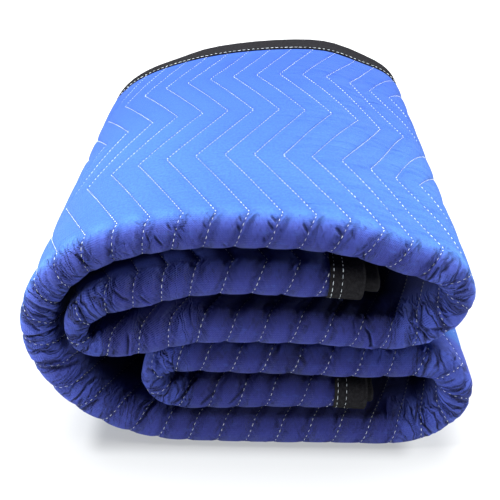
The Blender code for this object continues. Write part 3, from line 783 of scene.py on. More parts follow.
def outer_rows():
    """(row, lines to a seam) for the outer face, from the first bound edge to the second. 0 lines is a plain row."""
    ramp, fold, under = TAPE_WIDTH + TAPE_RAMP, STARTS[FRONT_FOLD], STARTS[PLY_2]
    rows = [(0.0, 0), (TAPE_WIDTH, 0), (ramp, 8)]
    corners = [FIRST_CORNER + k * ZIGZAG_LEG for k in range(3)]
    for first, last in zip([ramp] + corners, corners + [fold - 0.018]):
        rows += [(b, 8) for b in between(first, last, 0.0100)[1:]]
    rows += [(b, 12) for b in between(fold - 0.018, fold, 0.0020)[1:]]
    rows += [(b, 20) for b in between(fold, under, 0.0012)[1:]]
    rows += [(b, 12) for b in between(under, under + 0.014, 0.0020)[1:]]
    rows += [(b, 8) for b in between(under + 0.014, QUILTED_END, 0.0120)[1:]]
    made = [(row_at(b), lines) for b, lines in rows]
    made[0] = ((PLY_1, 0), 0)
    # the folds at the back are quilted too, so closer rows take the place of the plain ones
    hidden = [(row, 0) for row in plain_rows(half_way=True)]
    turned, inner = STARTS[BACK_FOLD], STARTS[PLY_3]
    back = [(row_at(b), 4) for b in between(turned - 0.060, turned - 0.012, 0.016)]
    back += [(row_at(b), 4) for b in between(turned - 0.012, inner + 0.008, 0.0030)[1:]]
    return made + hidden[:1] + back + hidden[6:]


def plain_rows(half_way):
    """The rows of a hidden face, from its first edge or from the middle of the second ply."""
    edge, ramp = TAPE_WIDTH / USUAL[PLY_1], (TAPE_WIDTH + TAPE_RAMP) / USUAL[PLY_1]
    round_fold = (1 / 6, 1 / 3, 1 / 2, 2 / 3, 5 / 6)
    rows = []
    if not half_way:
        rows += [(PLY_1, share) for share in (0, edge, ramp, 0.5, 1)]
        rows += [(FRONT_FOLD, share) for share in round_fold] + [(PLY_2, 0)]
    rows += [(PLY_2, 0.5), (PLY_2, 1), (BACK_FOLD, 0.25), (BACK_FOLD, 0.5), (BACK_FOLD, 0.75)]
    rows += [(PLY_3, 0), (PLY_3, 0.5), (PLY_3, 1)]
    rows += [(INNER_FOLD, share) for share in round_fold]
    return rows + [(PLY_4, 0), (PLY_4, 0.5), (PLY_4, 1 - ramp), (PLY_4, 1 - edge), (PLY_4, 1)]


def row_columns(row, lines):
    """(distance, seam number) for each point of a row."""
    left, right = edge_columns(row)
    shift = zigzag(across(row))
    if lines:
        number = np.arange(SEAM_NUMBERS[0] * lines, SEAM_NUMBERS[-1] * lines + 1) / lines
        inner = seam_at(number) + shift
    else:
        inner, number = PLAIN, seam_number(PLAIN - shift)
    kept = (inner > left[-1] + END_MARGIN) & (inner < right[0] - END_MARGIN)
    u = np.concatenate([left, inner[kept], right])
    return u, np.concatenate([seam_number(left - shift), number[kept], seam_number(right - shift)])


def ordered(numbers):
    """Seam numbers as keys, with the three columns at each end kept apart."""
    keys = numbers.copy()
    keys[:3], keys[-3:] = (-1e4, -9e3, -8e3), (8e3, 9e3, 1e4)
    return keys


def edge_fade(u, row):
    """0 at the strip's taped ends, rising to 1 past them."""
    first, last = strip_ends(row)
    inside = np.minimum(u - first, last - u) - TAPE_WIDTH
    return np.clip(inside / TAPE_RAMP, 0, 1)


def surface_lift(u, row, number, relief, settings):
    """Height of the padding and the creases over the sheet's half thickness, and the crease alone."""
    share = 1 - np.abs(2 * (number % 1) - 1)
    if across(row) > QUILTED_END:
        # the folds at the back keep to the solids, without creases
        low = edge_fade(u, row) * (puffed(share, settings) - 0.6 * settings.puff)
        return low, 0 * low
    fade = edge_fade(u, row) * np.clip((across(row) - TAPE_WIDTH) / (2 * TAPE_RAMP), 0, 1)
    crease = relief.at(u, across(row))
    lying = 1 - 0.6 * eased((u - LYING_FROM) / LYING_FADE) * eased((LYING_TO - u) / LYING_FADE)
    return fade * (lying * puffed(share, settings) + crease), fade * crease


def add_face(shell, side, rows, relief, settings):
    """One face of the sheet: its rows of points, their places along the strip, and each row's place across."""
    made, along, where, seams = [], [], [], []
    for row, lines in rows:
        u, number = row_columns(row, lines)
        taped = len(made) < 2 or len(made) >= len(rows) - 2
        half = np.full(len(u), EDGE_HALF if taped else PLY_HALF)
        half[:2] = half[-2:] = EDGE_HALF
        crease = 0.0
        if lines:
            lift, crease = surface_lift(u, row, number, relief, settings)
            half = half + lift
        points = sheet_points(u, row, side * half)
        if side == 1:
            resting = points[:, 2] < LYING_HEIGHT
            points[resting, 2] = np.maximum(points[resting, 2], 0) * LYING_SHARE
        facing = (points - sheet_points(u, row, 0 * half))[:, 2] / half
        depth = np.clip(-crease / DEEP_CREASE, 0, 1.5)
        made.append(shell.add(points, u, across(row), number, depth, sharpness(u), facing))
        along.append(u)
        where.append(across(row))
        seams.append(ordered(number) if lines else None)
        if len(made) > 1:
            plain = seams[-2] is None or seams[-1] is None
            shell.zip(*made[-2:], *(along if plain else seams)[-2:])
    return made, along, where


def cloth_shell(settings):
    """The whole sheet as one closed shell, and its creases."""
    relief = creased_sheet(settings)
    shell = Shell()
    top, top_along, top_where = add_face(shell, 1, outer_rows(), relief, settings)
    plain = [(row, 0) for row in plain_rows(half_way=False)]
    low, low_along, low_where = add_face(shell, -1, plain, relief, settings)
    shell.zip(low[0], top[0], low_along[0], top_along[0])
    shell.zip(top[-1], low[-1], top_along[-1], low_along[-1])
    shell.zip([r[0] for r in top], [r[0] for r in low], top_where, low_where)
    shell.zip([r[-1] for r in low], [r[-1] for r in top], low_where, top_where)
    return shell, relief


def tape_section(thickness):
    """(distance in from the raw edge, share of the way out) round the tape's outer face, and its inner face."""
    outside = EDGE_HALF + CLEARANCE + thickness
    raw = -CLEARANCE - thickness
    return [
        (TAPE_WIDTH, outside), (0.75 * TAPE_WIDTH, outside), (0.5 * TAPE_WIDTH, outside), (0.25 * TAPE_WIDTH, outside),
        (raw + 0.0026, outside), (raw + 0.0010, 0.86 * outside), (raw + 0.0002, 0.5 * outside),
    ]


def edge_tape_shell(first_edge, settings):
    """Tape folded over one long edge of the sheet."""
    edge = (PLY_1, 0) if first_edge else (PLY_4, 1)
    left, right = edge_columns(edge)
    inner = PLAIN[(PLAIN > left[-1] + END_MARGIN) & (PLAIN < right[0] - END_MARGIN)]
    u = np.concatenate([[left[1] + CLEARANCE, left[2]], inner, [right[0], right[1] - CLEARANCE]])
    half = tape_section(settings.thickness)
    outer = half + [(inwards, -off) for inwards, off in half[::-1]]
    inside = EDGE_HALF + CLEARANCE
    inner = [(TAPE_WIDTH, -inside), (-CLEARANCE, -inside), (-CLEARANCE, inside), (TAPE_WIDTH, inside)]
    shell = Shell()
    rings = []
    for corners in (outer, inner):
        lines = []
        for inwards, off in corners:
            share = inwards / USUAL[edge[0]]
            row = (edge[0], share if first_edge else 1 - share)
            lines.append(shell.add(sheet_points(u, row, off), u, inwards))
        rings.append(lines)
        for before, after in zip(lines[:-1], lines[1:]):
            shell.zip(before, after, u, u)
    outer_lines, inner_lines = rings
    shell.zip(outer_lines[-1], inner_lines[0], u, u)
    shell.zip(inner_lines[-1], outer_lines[0], u, u)
    for end in (0, -1):
        out = [line[end] for line in outer_lines]
        into = [line[end] for line in inner_lines[::-1]]
        shell.zip(out, into, np.linspace(0, 3, len(out)), np.arange(4))
    return shell


def end_tape_shell(upper, settings):
    """Tape folded over one end of the strip, through all four plies, closed at the sheet's corners."""
    shell = Shell()
    mouths = []
    inside = EDGE_HALF + CLEARANCE
    for grow, columns in (
        (CLEARANCE, [(-CLEARANCE, inside), (TAPE_WIDTH, inside)]),
        (CLEARANCE + settings.thickness, tape_section(settings.thickness)[::-1]),
    ):
        sides = []
        for side, rows in ((1, [row for row, _ in outer_rows()]), (-1, plain_rows(half_way=False))):
            rows = [(PLY_1, -grow / USUAL[PLY_1])] + rows[1:-1] + [(PLY_4, 1 + grow / USUAL[PLY_4])]
            where = [across(row) for row in rows]
            lines = []
            for inwards, off in columns:
                line = []
                for row in rows:
                    first, last = strip_ends(row)
                    u = np.array([first + inwards if upper else last - inwards])
                    line.append(shell.add(sheet_points(u, row, side * off), inwards, across(row))[0])
                lines.append(line)
            for before, after in zip(lines[:-1], lines[1:]):
                shell.zip(before, after, where, where)
            sides.append((lines, where))
        (lines, where), (low_lines, low_where) = sides
        shell.zip(lines[0], low_lines[0], where, low_where)
        for i in (0, -1):
            ring = [line[i] for line in lines] + [line[i] for line in low_lines[::-1]]
            middle = len(lines)
            shell.zip(ring[:middle], ring[middle:][::-1], range(middle), range(middle))
        loop = list(lines[-1]) + list(low_lines[-1])[::-1]
        mouths.append(loop + loop[:1])
    shell.zip(mouths[0], mouths[1], range(len(mouths[0])), range(len(mouths[1])))
    return shell


# ---- stitches


def stitch_tree():
    """Geometry Nodes: short rounded lengths of thread, one after another along a line."""
    tree = bpy.data.node_groups.new("sewn_stitches", "GeometryNodeTree")
    socket = tree.interface.new_socket
    socket("Geometry", in_out="INPUT", socket_type="NodeSocketGeometry")
    for name in STITCH_SIZES:
        socket(name, in_out="INPUT", socket_type="NodeSocketFloat").subtype = "DISTANCE"
    socket("Seed", in_out="INPUT", socket_type="NodeSocketInt")
    socket("Material", in_out="INPUT", socket_type="NodeSocketMaterial")
    socket("Geometry", in_out="OUTPUT", socket_type="NodeSocketGeometry")
    link = tree.links.new

    def node(kind, **inputs):
        made = tree.nodes.new(kind)
        for name, value in inputs.items():
            made.inputs[name.replace("_", " ")].default_value = value
        return made

    def random_share(least, most):
        made = node("FunctionNodeRandomValue")
        made.data_type = "FLOAT"
        made.inputs[2].default_value, made.inputs[3].default_value = least, most
        return made

    source, result = node("NodeGroupInput"), node("NodeGroupOutput")
    curve, points = node("GeometryNodeMeshToCurve"), node("GeometryNodeCurveToPoints")
    points.mode = "LENGTH"
    ball = node("GeometryNodeMeshUVSphere", Segments=4, Rings=3, Radius=0.5)
    shape, scale = node("GeometryNodeTransform"), node("ShaderNodeCombineXYZ")
    place_on, stretch = node("GeometryNodeInstanceOnPoints"), node("ShaderNodeCombineXYZ")
    vary, slim = random_share(0.60, 1.08), random_share(0.70, 1.10)
    next_seed = node("FunctionNodeIntegerMath")
    next_seed.inputs[1].default_value = 1
    # on the front folds the thread sinks into the padding, so less of its width shows
    depth, shown = node("ShaderNodeSeparateXYZ"), node("ShaderNodeMath")
    sunk_and_shaded = node("ShaderNodeMapRange", From_Min=-0.238, From_Max=-0.226, To_Min=0.80)
    shown.operation = "MULTIPLY"
    real, smooth = node("GeometryNodeRealizeInstances"), node("GeometryNodeSetShadeSmooth")
    paint = node("GeometryNodeSetMaterial")
    for output, into in (
        (source.outputs["Geometry"], curve.inputs["Mesh"]),
        (curve.outputs["Curve"], points.inputs["Curve"]),
        (source.outputs["Pitch"], points.inputs["Length"]),
        (source.outputs["Thread Width"], scale.inputs["X"]),
        (source.outputs["Thread Width"], scale.inputs["Y"]),
        (source.outputs["Stitch Length"], scale.inputs["Z"]),
        (ball.outputs["Mesh"], shape.inputs["Geometry"]),
        (scale.outputs["Vector"], shape.inputs["Scale"]),
        (points.outputs["Points"], place_on.inputs["Points"]),
        (points.outputs["Rotation"], place_on.inputs["Rotation"]),
        (shape.outputs["Geometry"], place_on.inputs["Instance"]),
        (source.outputs["Seed"], vary.inputs["Seed"]),
        (source.outputs["Seed"], next_seed.inputs[0]),
        (next_seed.outputs[0], slim.inputs["Seed"]),
        (node("GeometryNodeInputPosition").outputs["Position"], depth.inputs["Vector"]),
        (depth.outputs["Y"], sunk_and_shaded.inputs["Value"]),
        (slim.outputs[1], shown.inputs[0]),
        (sunk_and_shaded.outputs["Result"], shown.inputs[1]),
        (shown.outputs["Value"], stretch.inputs["X"]),
        (shown.outputs["Value"], stretch.inputs["Y"]),
        (vary.outputs[1], stretch.inputs["Z"]),
        (stretch.outputs["Vector"], place_on.inputs["Scale"]),
        (place_on.outputs["Instances"], real.inputs["Geometry"]),
        (real.outputs["Geometry"], smooth.inputs["Geometry"]),
        (smooth.outputs["Geometry"], paint.inputs["Geometry"]),
        (source.outputs["Material"], paint.inputs["Material"]),
        (paint.outputs["Geometry"], result.inputs["Geometry"]),
    ):
        link(output, into)
    return tree


def stitched(name, runs, sizes, material):
    """Stitches along runs of points, as one plain mesh."""
    points, edges = [], []
    for run in runs:
        first = len(points)
        points += [tuple(p) for p in run]
        edges += [(i, i + 1) for i in range(first, len(points) - 1)]
    line = bpy.data.meshes.new(name + "_line")
    line.from_pydata(points, edges, [])
    guide = bpy.data.objects.new(name + "_guide", line)
    bpy.context.scene.collection.objects.link(guide)
    tree = bpy.data.node_groups.get("sewn_stitches") or stitch_tree()
    sewing = guide.modifiers.new("Stitches", "NODES")
    sewing.node_group = tree
    inputs = {item.name: item.identifier for item in tree.interface.items_tree if item.in_out == "INPUT"}
    for size_name, size in zip(STITCH_SIZES, sizes):
        sewing[inputs[size_name]] = size
    sewing[inputs["Seed"]] = STITCH_SEED
    sewing[inputs["Material"]] = material
    graph = bpy.context.evaluated_depsgraph_get()
    mesh = bpy.data.meshes.new_from_object(guide.evaluated_get(graph))
    mesh.name = name
    bpy.data.objects.remove(guide, do_unlink=True)
    obj = bpy.data.objects.new(name, mesh)
    bpy.context.scene.collection.objects.link(obj)
    return obj


def seam_runs(relief, settings, lift):
    """The quilting seams over the outer plies, on top of the creased cloth."""
    corners = [FIRST_CORNER + k * ZIGZAG_LEG for k in range(4)]
    stops = [TAPE_WIDTH + 0.002] + corners + [QUILTED_END - 0.004]
    outer = np.concatenate([between(first, last, SEAM_STEP)[1:] for first, last in zip(stops[:-1], stops[1:])])
    back = between(STARTS[BACK_FOLD] - 0.050, STARTS[PLY_3] + 0.006, SEAM_STEP)
    numbers = np.arange(SEAM_NUMBERS[0], SEAM_NUMBERS[-1] + 1)
    runs = []
    for spots, number in [(spots, number) for spots in (outer, back) for number in numbers]:
        runs.append([])
        for b in spots:
            row = row_at(b)
            left, right = strip_ends(row)
            u = np.array([seam_at(number) + zigzag(b)])
            if left + TAPE_WIDTH + TAPE_GAP < u[0] < right - TAPE_WIDTH - TAPE_GAP:
                height = surface_lift(u, row, np.array([number]), relief, settings)[0]
                point = sheet_points(u, row, PLY_HALF + height + lift)[0]
                point[2] = max(point[2], THREAD_FLOOR)
                runs[-1].append(point)
            else:
                runs.append([])
    return [run for run in runs if len(run) > 2]


def tape_seam_runs(settings, lift):
    """Two rows of stitches on each end tape and one on the tape along the back."""
    outside = EDGE_HALF + CLEARANCE + settings.thickness + lift
    runs = []
    for upper in (True, False):
        for inset in TAPE_SEAMS:
            run = []
            for b in between(0.001, STARTS[BACK_FOLD], SEAM_STEP):
                row = row_at(b)
                first, last = strip_ends(row)
                u = first + TAPE_WIDTH - inset if upper else last - TAPE_WIDTH + inset
                run.append(sheet_points(np.array([u]), row, outside)[0])
            runs.append(run)
    row = row_at(TAPE_WIDTH - 0.0026)
    first, last = strip_ends(row)
    u = between(first + TAPE_WIDTH + 0.002, last - TAPE_WIDTH - 0.002, SEAM_STEP)
    runs.append(list(sheet_points(u, row, outside)))
    return runs


# ---- materials

# Where the cloth takes painted light and shade, or creases: where each stretch starts and where it ends, as
# two smooth steps. The first ones are along the strip, the others across the sheet.
TOP_LAYER = (0.52, 0.60), (1.04, 1.18)
TOP_RIGHT = (0.54, 0.62), (0.66, 0.80)
OUTER_LAYERS = (0.47, 0.52), (1.54, 1.60)
LOWER_RIGHT_BEND = (1.34, 1.40), (1.48, 1.54)
LOWER_BUNDLE = 1.44, 1.52
CREASED_FOLD = (0.460, 0.478), (0.506, 0.535)
FRONT_FOLDS = (0.455, 0.470), (0.512, 0.530)
UNDER_TOP = (0.10, 0.18), (0.436, 0.464)
INNER_PLIES = (0.512, 0.545), (0.80, 0.90)
IN_BENDS = 0.15, 0.60


class Nodes:
    """A short way to write shader trees."""

    def __init__(self, name):
        self.material = bpy.data.materials.new(name)
        self.material.use_nodes = True
        self.tree = self.material.node_tree
        self.shader = self.tree.nodes["Principled BSDF"]

    def new(self, kind, **settings):
        node = self.tree.nodes.new(kind)
        for key, value in settings.items():
            setattr(node, key, value)
        return node

    def put(self, value, socket):
        if isinstance(value, bpy.types.NodeSocket):
            self.tree.links.new(value, socket)
        else:
            socket.default_value = value

    def finish(self, colour, **values):
        """Puts values on the shader's own sockets, and the colour on the solid view."""
        for name, value in values.items():
            self.put(value, self.shader.inputs[name.replace("_", " ")])
        self.material.diffuse_color = rgba(colour)
        return self.material

    def math(self, operation, a, b=0.0, c=None):
        node = self.new("ShaderNodeMath", operation=operation)
        self.put(a, node.inputs[0])
        self.put(b, node.inputs[1])
        if c is not None:
            self.put(c, node.inputs[2])
        return node.outputs[0]

    def add(self, a, b):
        return self.math("ADD", a, b)

    def times(self, first, *others):
        for other in others:
            first = self.math("MULTIPLY", first, other)
        return first

    def rest(self, share):
        return self.math("SUBTRACT", 1.0, share)

    def ramp(self, value, low, high, to_low=0.0, to_high=1.0):
        node = self.new("ShaderNodeMapRange", interpolation_type="SMOOTHSTEP")
        self.put(value, node.inputs["Value"])
        for name, number in (("From Min", low), ("From Max", high), ("To Min", to_low), ("To Max", to_high)):
            node.inputs[name].default_value = number
        return node.outputs["Result"]

    def stretch(self, value, start, end):
        """1 from the first step to the second, 0 outside them."""
        return self.times(self.ramp(value, *start), self.ramp(value, *end, 1.0, 0.0))

    def noise(self, vector, scale, detail=3.0, roughness=0.55):
        node = self.new("ShaderNodeTexNoise")
        self.put(vector, node.inputs["Vector"])
        for name, value in (("Scale", scale), ("Detail", detail), ("Roughness", roughness)):
            node.inputs[name].default_value = value
        return node.outputs["Fac"]

    def vector(self, x, y, z=0.0):
        node = self.new("ShaderNodeCombineXYZ")
        for value, socket in zip((x, y, z), node.inputs):
            self.put(value, socket)
        return node.outputs[0]

    def parts(self, vector):
        split = self.new("ShaderNodeSeparateXYZ")
        self.put(vector, split.inputs[0])
        return split.outputs

    def marks(self, name):
        """The two columns of one of the cloth's UV maps."""
        return self.parts(self.new("ShaderNodeUVMap", uv_map=name).outputs[0])[:2]

    def bumps(self, *heights):
        """The normal after (height, distance, strength) bumps, one on the other."""
        normal = None
        for height, distance, strength in heights:
            node = self.new("ShaderNodeBump")
            for name, value in (("Strength", strength), ("Distance", distance), ("Height", height)):
                self.put(value, node.inputs[name])
            if normal is not None:
                self.put(normal, node.inputs["Normal"])
            normal = node.outputs[0]
        self.put(normal, self.shader.inputs["Normal"])

    def mix(self, share, one, other, blend="MIX"):
        node = self.new("ShaderNodeMix", data_type="RGBA", blend_type=blend)
        for number, value in ((0, share), (6, one), (7, other)):
            self.put(value, node.inputs[number])
        return node.outputs[2]

    def layered(self, base, layers, blend="MIX"):
        """The base with (share, shade) layers, one on the other."""
        for share, shade in layers:
            base = self.mix(share, base, shade, blend)
        return base


def rgba(colour, factor=1.0):
    return (*[min(1.0, c * factor) for c in colour], 1.0)


class ClothNodes(Nodes):
    """The cloth's shader, with the places and patterns that its relief and its painted light and shade share."""

    def __init__(self):
        super().__init__("quilted_cloth")
        self.u, self.b = u, b = self.marks("flat_sheet")
        seam, self.crease = self.marks("seam_lanes")
        self.bend, self.facing = self.marks("strip_bends")
        part = self.math("FRACT", seam)
        aside = self.times(self.math("MINIMUM", part, self.rest(part)), SEAM_SPACING)
        self.groove = self.ramp(aside, 0.0, 0.0016)
        self.near = self.ramp(aside, 0.001, 0.0090, 1.0, 0.0)
        self.fold = self.stretch(b, *CREASED_FOLD)
        self.drift = self.noise(self.vector(u, b, 7.0), 22.0, 2.0, 0.5)
        # crepe: short ripples along the strip
        self.crepe = self.noise(self.vector(self.times(u, 0.35), b), 300.0, 3.0, 0.6)
        # tucks: pulls that slant both ways
        slanted = self.vector(self.add(u, self.times(b, 0.7)), self.times(b, 0.30))
        other = self.vector(self.math("SUBTRACT", u, self.times(b, 0.8)), self.times(b, 0.25), 3.0)
        pulls = self.noise(slanted, 260.0, 2.0, 0.5), self.noise(other, 230.0, 2.0, 0.5)
        self.tucks = self.add(*(self.times(pull, 0.5) for pull in pulls))
        # fan: sharp little creases across the front folds, where the strip bends
        sway = self.times(self.noise(self.vector(u, b, 11.0), 55.0, 2.0, 0.5), 0.016)
        self.fan = self.noise(self.vector(self.add(u, sway), self.times(b, 0.17), 13.0), 140.0, 1.5, 0.5)
        self.valley = self.ramp(self.math("ABSOLUTE", self.math("SUBTRACT", self.fan, 0.5)), 0.0, 0.060)
        here = self.times(self.fold, self.ramp(self.drift, 0.30, 0.55, 0.25, 1.0))
        self.fanned = self.times(self.add(0.07, self.ramp(self.bend, 0.15, 0.75)), here)
        # the top layer, and the layers wound in under it
        self.over = self.stretch(u, *TOP_LAYER)
        self.wound_in = self.rest(self.stretch(u, *OUTER_LAYERS))


def cloth_relief(n):
    """The cloth's bumps: seam grooves, long ripples, creases, tucks, crepe and, on top, the weave."""
    lying = n.vector(n.add(n.times(n.u, 0.22), n.times(n.b, 0.10)), n.b, 5.0)
    at_right = n.times(n.stretch(n.u, *TOP_RIGHT), n.ramp(n.drift, 0.35, 0.65))
    ripples = n.times(n.noise(lying, 105.0, 2.0, 0.45), at_right)
    creases = n.times(n.add(n.valley, n.times(n.fan, 1.4)), n.fanned)
    tucks = n.times(n.tucks, n.times(n.fold, n.math("MULTIPLY_ADD", n.near, 0.95, 0.25)))
    crepe = n.times(n.crepe, n.add(0.20, n.times(n.near, 0.35)))
    # twill: fine diagonal ribs crossed by finer threads
    rib = n.math("SINE", n.times(n.add(n.u, n.times(n.b, 1.6)), 2 * math.pi / TWILL_RIB))
    thread = n.math("SINE", n.times(n.b, 2 * math.pi / TWILL_THREAD))
    weave = n.add(n.times(rib, 0.5), n.times(thread, 0.3))
    n.bumps(
        (n.groove, 0.0004, 0.8), (ripples, 0.0050, 1.0), (creases, 0.0042, 1.0),
        (tucks, 0.0058, 1.0), (crepe, 0.0036, 1.0), (weave, 0.00038, 0.9),
    )


def cloth_blues(n, colour, dimmer_far_colour, shaded_fold_colour):
    """The open faces' lit blue, lighter towards the front, running over into the painted-shade blue of the folds, with
    its patches and grain, a lit crest, painted shade in the grooves, creases and tucks, and a painted highlight on the
    crepe.
    """
    later = n.math("MULTIPLY_ADD", n.over, -0.0145, n.math("MULTIPLY_ADD", n.wound_in, 0.0160, n.b))
    lower_right = n.stretch(n.u, *LOWER_RIGHT_BEND)
    to_crest = n.ramp(n.math("MULTIPLY_ADD", lower_right, 0.0180, later), 0.4555, 0.4675)
    topmost = n.math("MAXIMUM", n.over, lower_right)
    turned = n.ramp(n.math("MULTIPLY_ADD", topmost, -0.008, n.b), 0.468, 0.484)
    patch = n.noise(n.vector(n.u, n.b), 9.0, 3.0, 0.6)
    grain = n.noise(n.vector(n.u, n.times(n.b, 0.7), 17.0), 420.0, 3.0, 0.7)
    lit_crest = (1.58 * shaded_fold_colour[0], 1.95 * shaded_fold_colour[1], 1.66 * shaded_fold_colour[2], 1.0)
    # painted light: the open faces run from the dimmer far blue at the back to the lighter near blue at the front
    return n.layered(n.mix(n.ramp(n.b, 0.03, 0.42), rgba(dimmer_far_colour), rgba(colour)), (
        (n.ramp(patch, 0.35, 0.65, 0.0, 0.10), rgba(dimmer_far_colour, 0.5)),
        # painted light: a lit crest where the front folds turn over from the open faces
        (to_crest, lit_crest),
        # painted shade: the shaded fold blue on the front faces, less of it in the bends
        (n.times(turned, n.ramp(n.bend, 0.1, 0.8, 1.0, 0.3)), rgba(shaded_fold_colour)),
        (n.ramp(grain, 0.40, 0.62, 0.0, 0.22), rgba(shaded_fold_colour, 0.4)),
        # painted shade in the seam grooves, then in the creases, the tucks and the fan valleys
        (n.times(n.rest(n.groove), 0.35), rgba(shaded_fold_colour, 0.5)),
        (n.times(n.ramp(n.crease, 0.2, 0.9), n.add(0.12, n.times(n.fold, 0.60))), rgba(shaded_fold_colour, 0.22)),
        (n.times(n.ramp(n.tucks, 0.46, 0.34), n.times(n.fold, 0.55)), rgba(shaded_fold_colour, 0.35)),
        (n.times(n.rest(n.valley), n.times(n.fanned, 0.65)), rgba(shaded_fold_colour, 0.25)),
        # painted highlight on the tops of the crepe
        (n.times(n.ramp(n.crepe, 0.55, 0.75), 0.12), rgba(PAINTED_CREPE_HIGHLIGHT)),
    ))


def front_fold_painted_light(n, base):
    """Painted light and shade on the front folds. Under the top one they are painted darker above, lighter along their
    lower rims and darker in the lower bundle. All are painted lighter in the wide bends and darker beside the seams,
    and the top one is painted lighter between its seams."""
    at_front = n.stretch(n.b, *FRONT_FOLDS)
    flat = n.times(n.times(at_front, n.rest(n.over)), n.ramp(n.bend, *IN_BENDS, 1.0, 0.0))
    wide_bend = n.times(n.ramp(n.bend, *IN_BENDS), n.rest(n.wound_in))
    return n.layered(base, (
        # painted shade on the upper parts, painted light on the lower rims, painted shade on the lower bundle's folds
        (n.times(flat, n.ramp(n.facing, -0.10, 0.75)), (0.70, 0.70, 0.74, 1)),
        (n.times(flat, n.ramp(n.facing, -0.25, -0.90)), (1.35, 1.30, 1.24, 1)),
        (n.times(flat, n.ramp(n.u, *LOWER_BUNDLE)), (0.84, 0.84, 0.90, 1)),
        # painted light in the wide bends, painted shade beside the seams, and a painted highlight on the top fold
        # between its seams
        (n.times(at_front, wide_bend), (1.26, 1.26, 1.20, 1)),
        (n.times(at_front, n.times(n.near, 0.32)), (0.62, 0.60, 0.66, 1)),
        (n.times(n.times(at_front, n.over), n.rest(n.near)), (1.14, 1.14, 1.10, 1)),
    ), "MULTIPLY")


def cloth_material(colour, dimmer_far_colour, shaded_fold_colour):
    n = ClothNodes()
    cloth_relief(n)
    base = front_fold_painted_light(n, cloth_blues(n, colour, dimmer_far_colour, shaded_fold_colour))
    # painted shade: deep between the layers, and under the top layer, the cloth is painted nearly black
    under_top = n.times(n.wound_in, n.stretch(n.b, *UNDER_TOP))
    hidden = n.math("MAXIMUM", under_top, n.stretch(n.b, *INNER_PLIES))
    base = n.mix(n.times(hidden, 0.8), base, rgba(shaded_fold_colour, 0.12))
    return n.finish(
        colour, Base_Color=base, Roughness=0.78, Sheen_Weight=0.05, Sheen_Roughness=0.45,
        Sheen_Tint=(0.55, 0.7, 1.0, 1.0), Specular_IOR_Level=0.12,
    )


def tape_material(colour):
    n = Nodes("ribbed_tape")
    u, b = n.marks("flat_sheet")
    rib = n.math("SINE", n.times(n.add(u, b), 2 * math.pi / TAPE_RIB))
    cross = n.math("SINE", n.times(n.math("SUBTRACT", u, b), 2 * math.pi / TAPE_RIB))
    weave = n.add(n.times(rib, 0.5), n.times(cross, 0.5))
    grain = n.noise(n.vector(u, b), 420.0, 3.0, 0.6)
    n.bumps((grain, 0.0004, 0.6), (weave, 0.0002, 0.7))
    base = n.mix(n.ramp(grain, 0.35, 0.7), rgba(colour, 0.85), rgba(colour, 1.5))
    return n.finish(colour, Base_Color=base, Roughness=0.9, Specular_IOR_Level=0.0)


def thread_material(colour):
    n = Nodes("sewing_thread")
    position = n.new("ShaderNodeTexCoord").outputs["Object"]
    twist = n.noise(position, 1500.0, 2.0, 0.5)
    x, y, z = n.parts(position)
    # painted shade: darker on the front folds, and darkest in the hollows behind them
    sunk_and_shaded = n.mix(n.ramp(y, -0.238, -0.222), rgba(colour, 0.62), rgba(colour))
    sunk_and_shaded = n.mix(n.ramp(twist, 0.35, 0.65, 0.0, 0.3), sunk_and_shaded, rgba(colour, 0.5))
    aside = n.ramp(n.math("ABSOLUTE", x), 0.145, 0.165, 1.0, 0.0)
    behind = n.stretch(y, (-0.236, -0.226), (0.10, 0.18))
    shaded_hollow = n.times(n.times(aside, behind), n.ramp(z, 0.165, 0.180, 0.8, 0.0))
    base = n.mix(shaded_hollow, sunk_and_shaded, rgba(colour, 0.06))
    return n.finish(colour, Base_Color=base, Roughness=0.5, Sheen_Weight=0.3)


# ---- operators

MADE = {}


def stand_for(obj, material, slot, *nodes):
    """Paints a piece, rides it on the bundle and lets it stand for CAD nodes."""
    if material is not None:
        obj.data.materials.clear()
        obj.data.materials.append(material)
    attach(obj, "root")
    if nodes:
        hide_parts(*nodes)
    return obj


class BLANKET_OT_cloth(bpy.types.Operator):
    """Build the quilted cloth, folded in four and laid in six layers"""

    bl_idname = "blanket.cloth"
    bl_label = "Quilted Cloth"

    def execute(self, context):
        settings = context.scene.blanket_fabric
        shell, MADE["relief"] = cloth_shell(settings)
        cloth = shell_object("quilted_cloth", shell)
        material = cloth_material(settings.colour, settings.dimmer_far_colour, settings.shaded_fold_colour)
        MADE["cloth"] = stand_for(cloth, material, "quilted_fabric", "blanket")
        return {"FINISHED"}


class BLANKET_OT_tapes(bpy.types.Operator):
    """Build the binding tape on the four edges of the sheet"""

    bl_idname = "blanket.tapes"
    bl_label = "Binding Tapes"

    def execute(self, context):
        settings = context.scene.blanket_tape
        material = tape_material(settings.colour)
        MADE["tapes"] = []
        for name, shell, node in (
            ("tape_first_side", edge_tape_shell(True, settings), "binding_first_side"),
            ("tape_second_side", edge_tape_shell(False, settings), "binding_second_side"),
            ("tape_upper_end", end_tape_shell(True, settings), "binding_upper_end"),
            ("tape_lower_end", end_tape_shell(False, settings), "binding_lower_end"),
        ):
            MADE["tapes"].append(stand_for(shell_object(name, shell), material, "binding_tape", node))
        return {"FINISHED"}


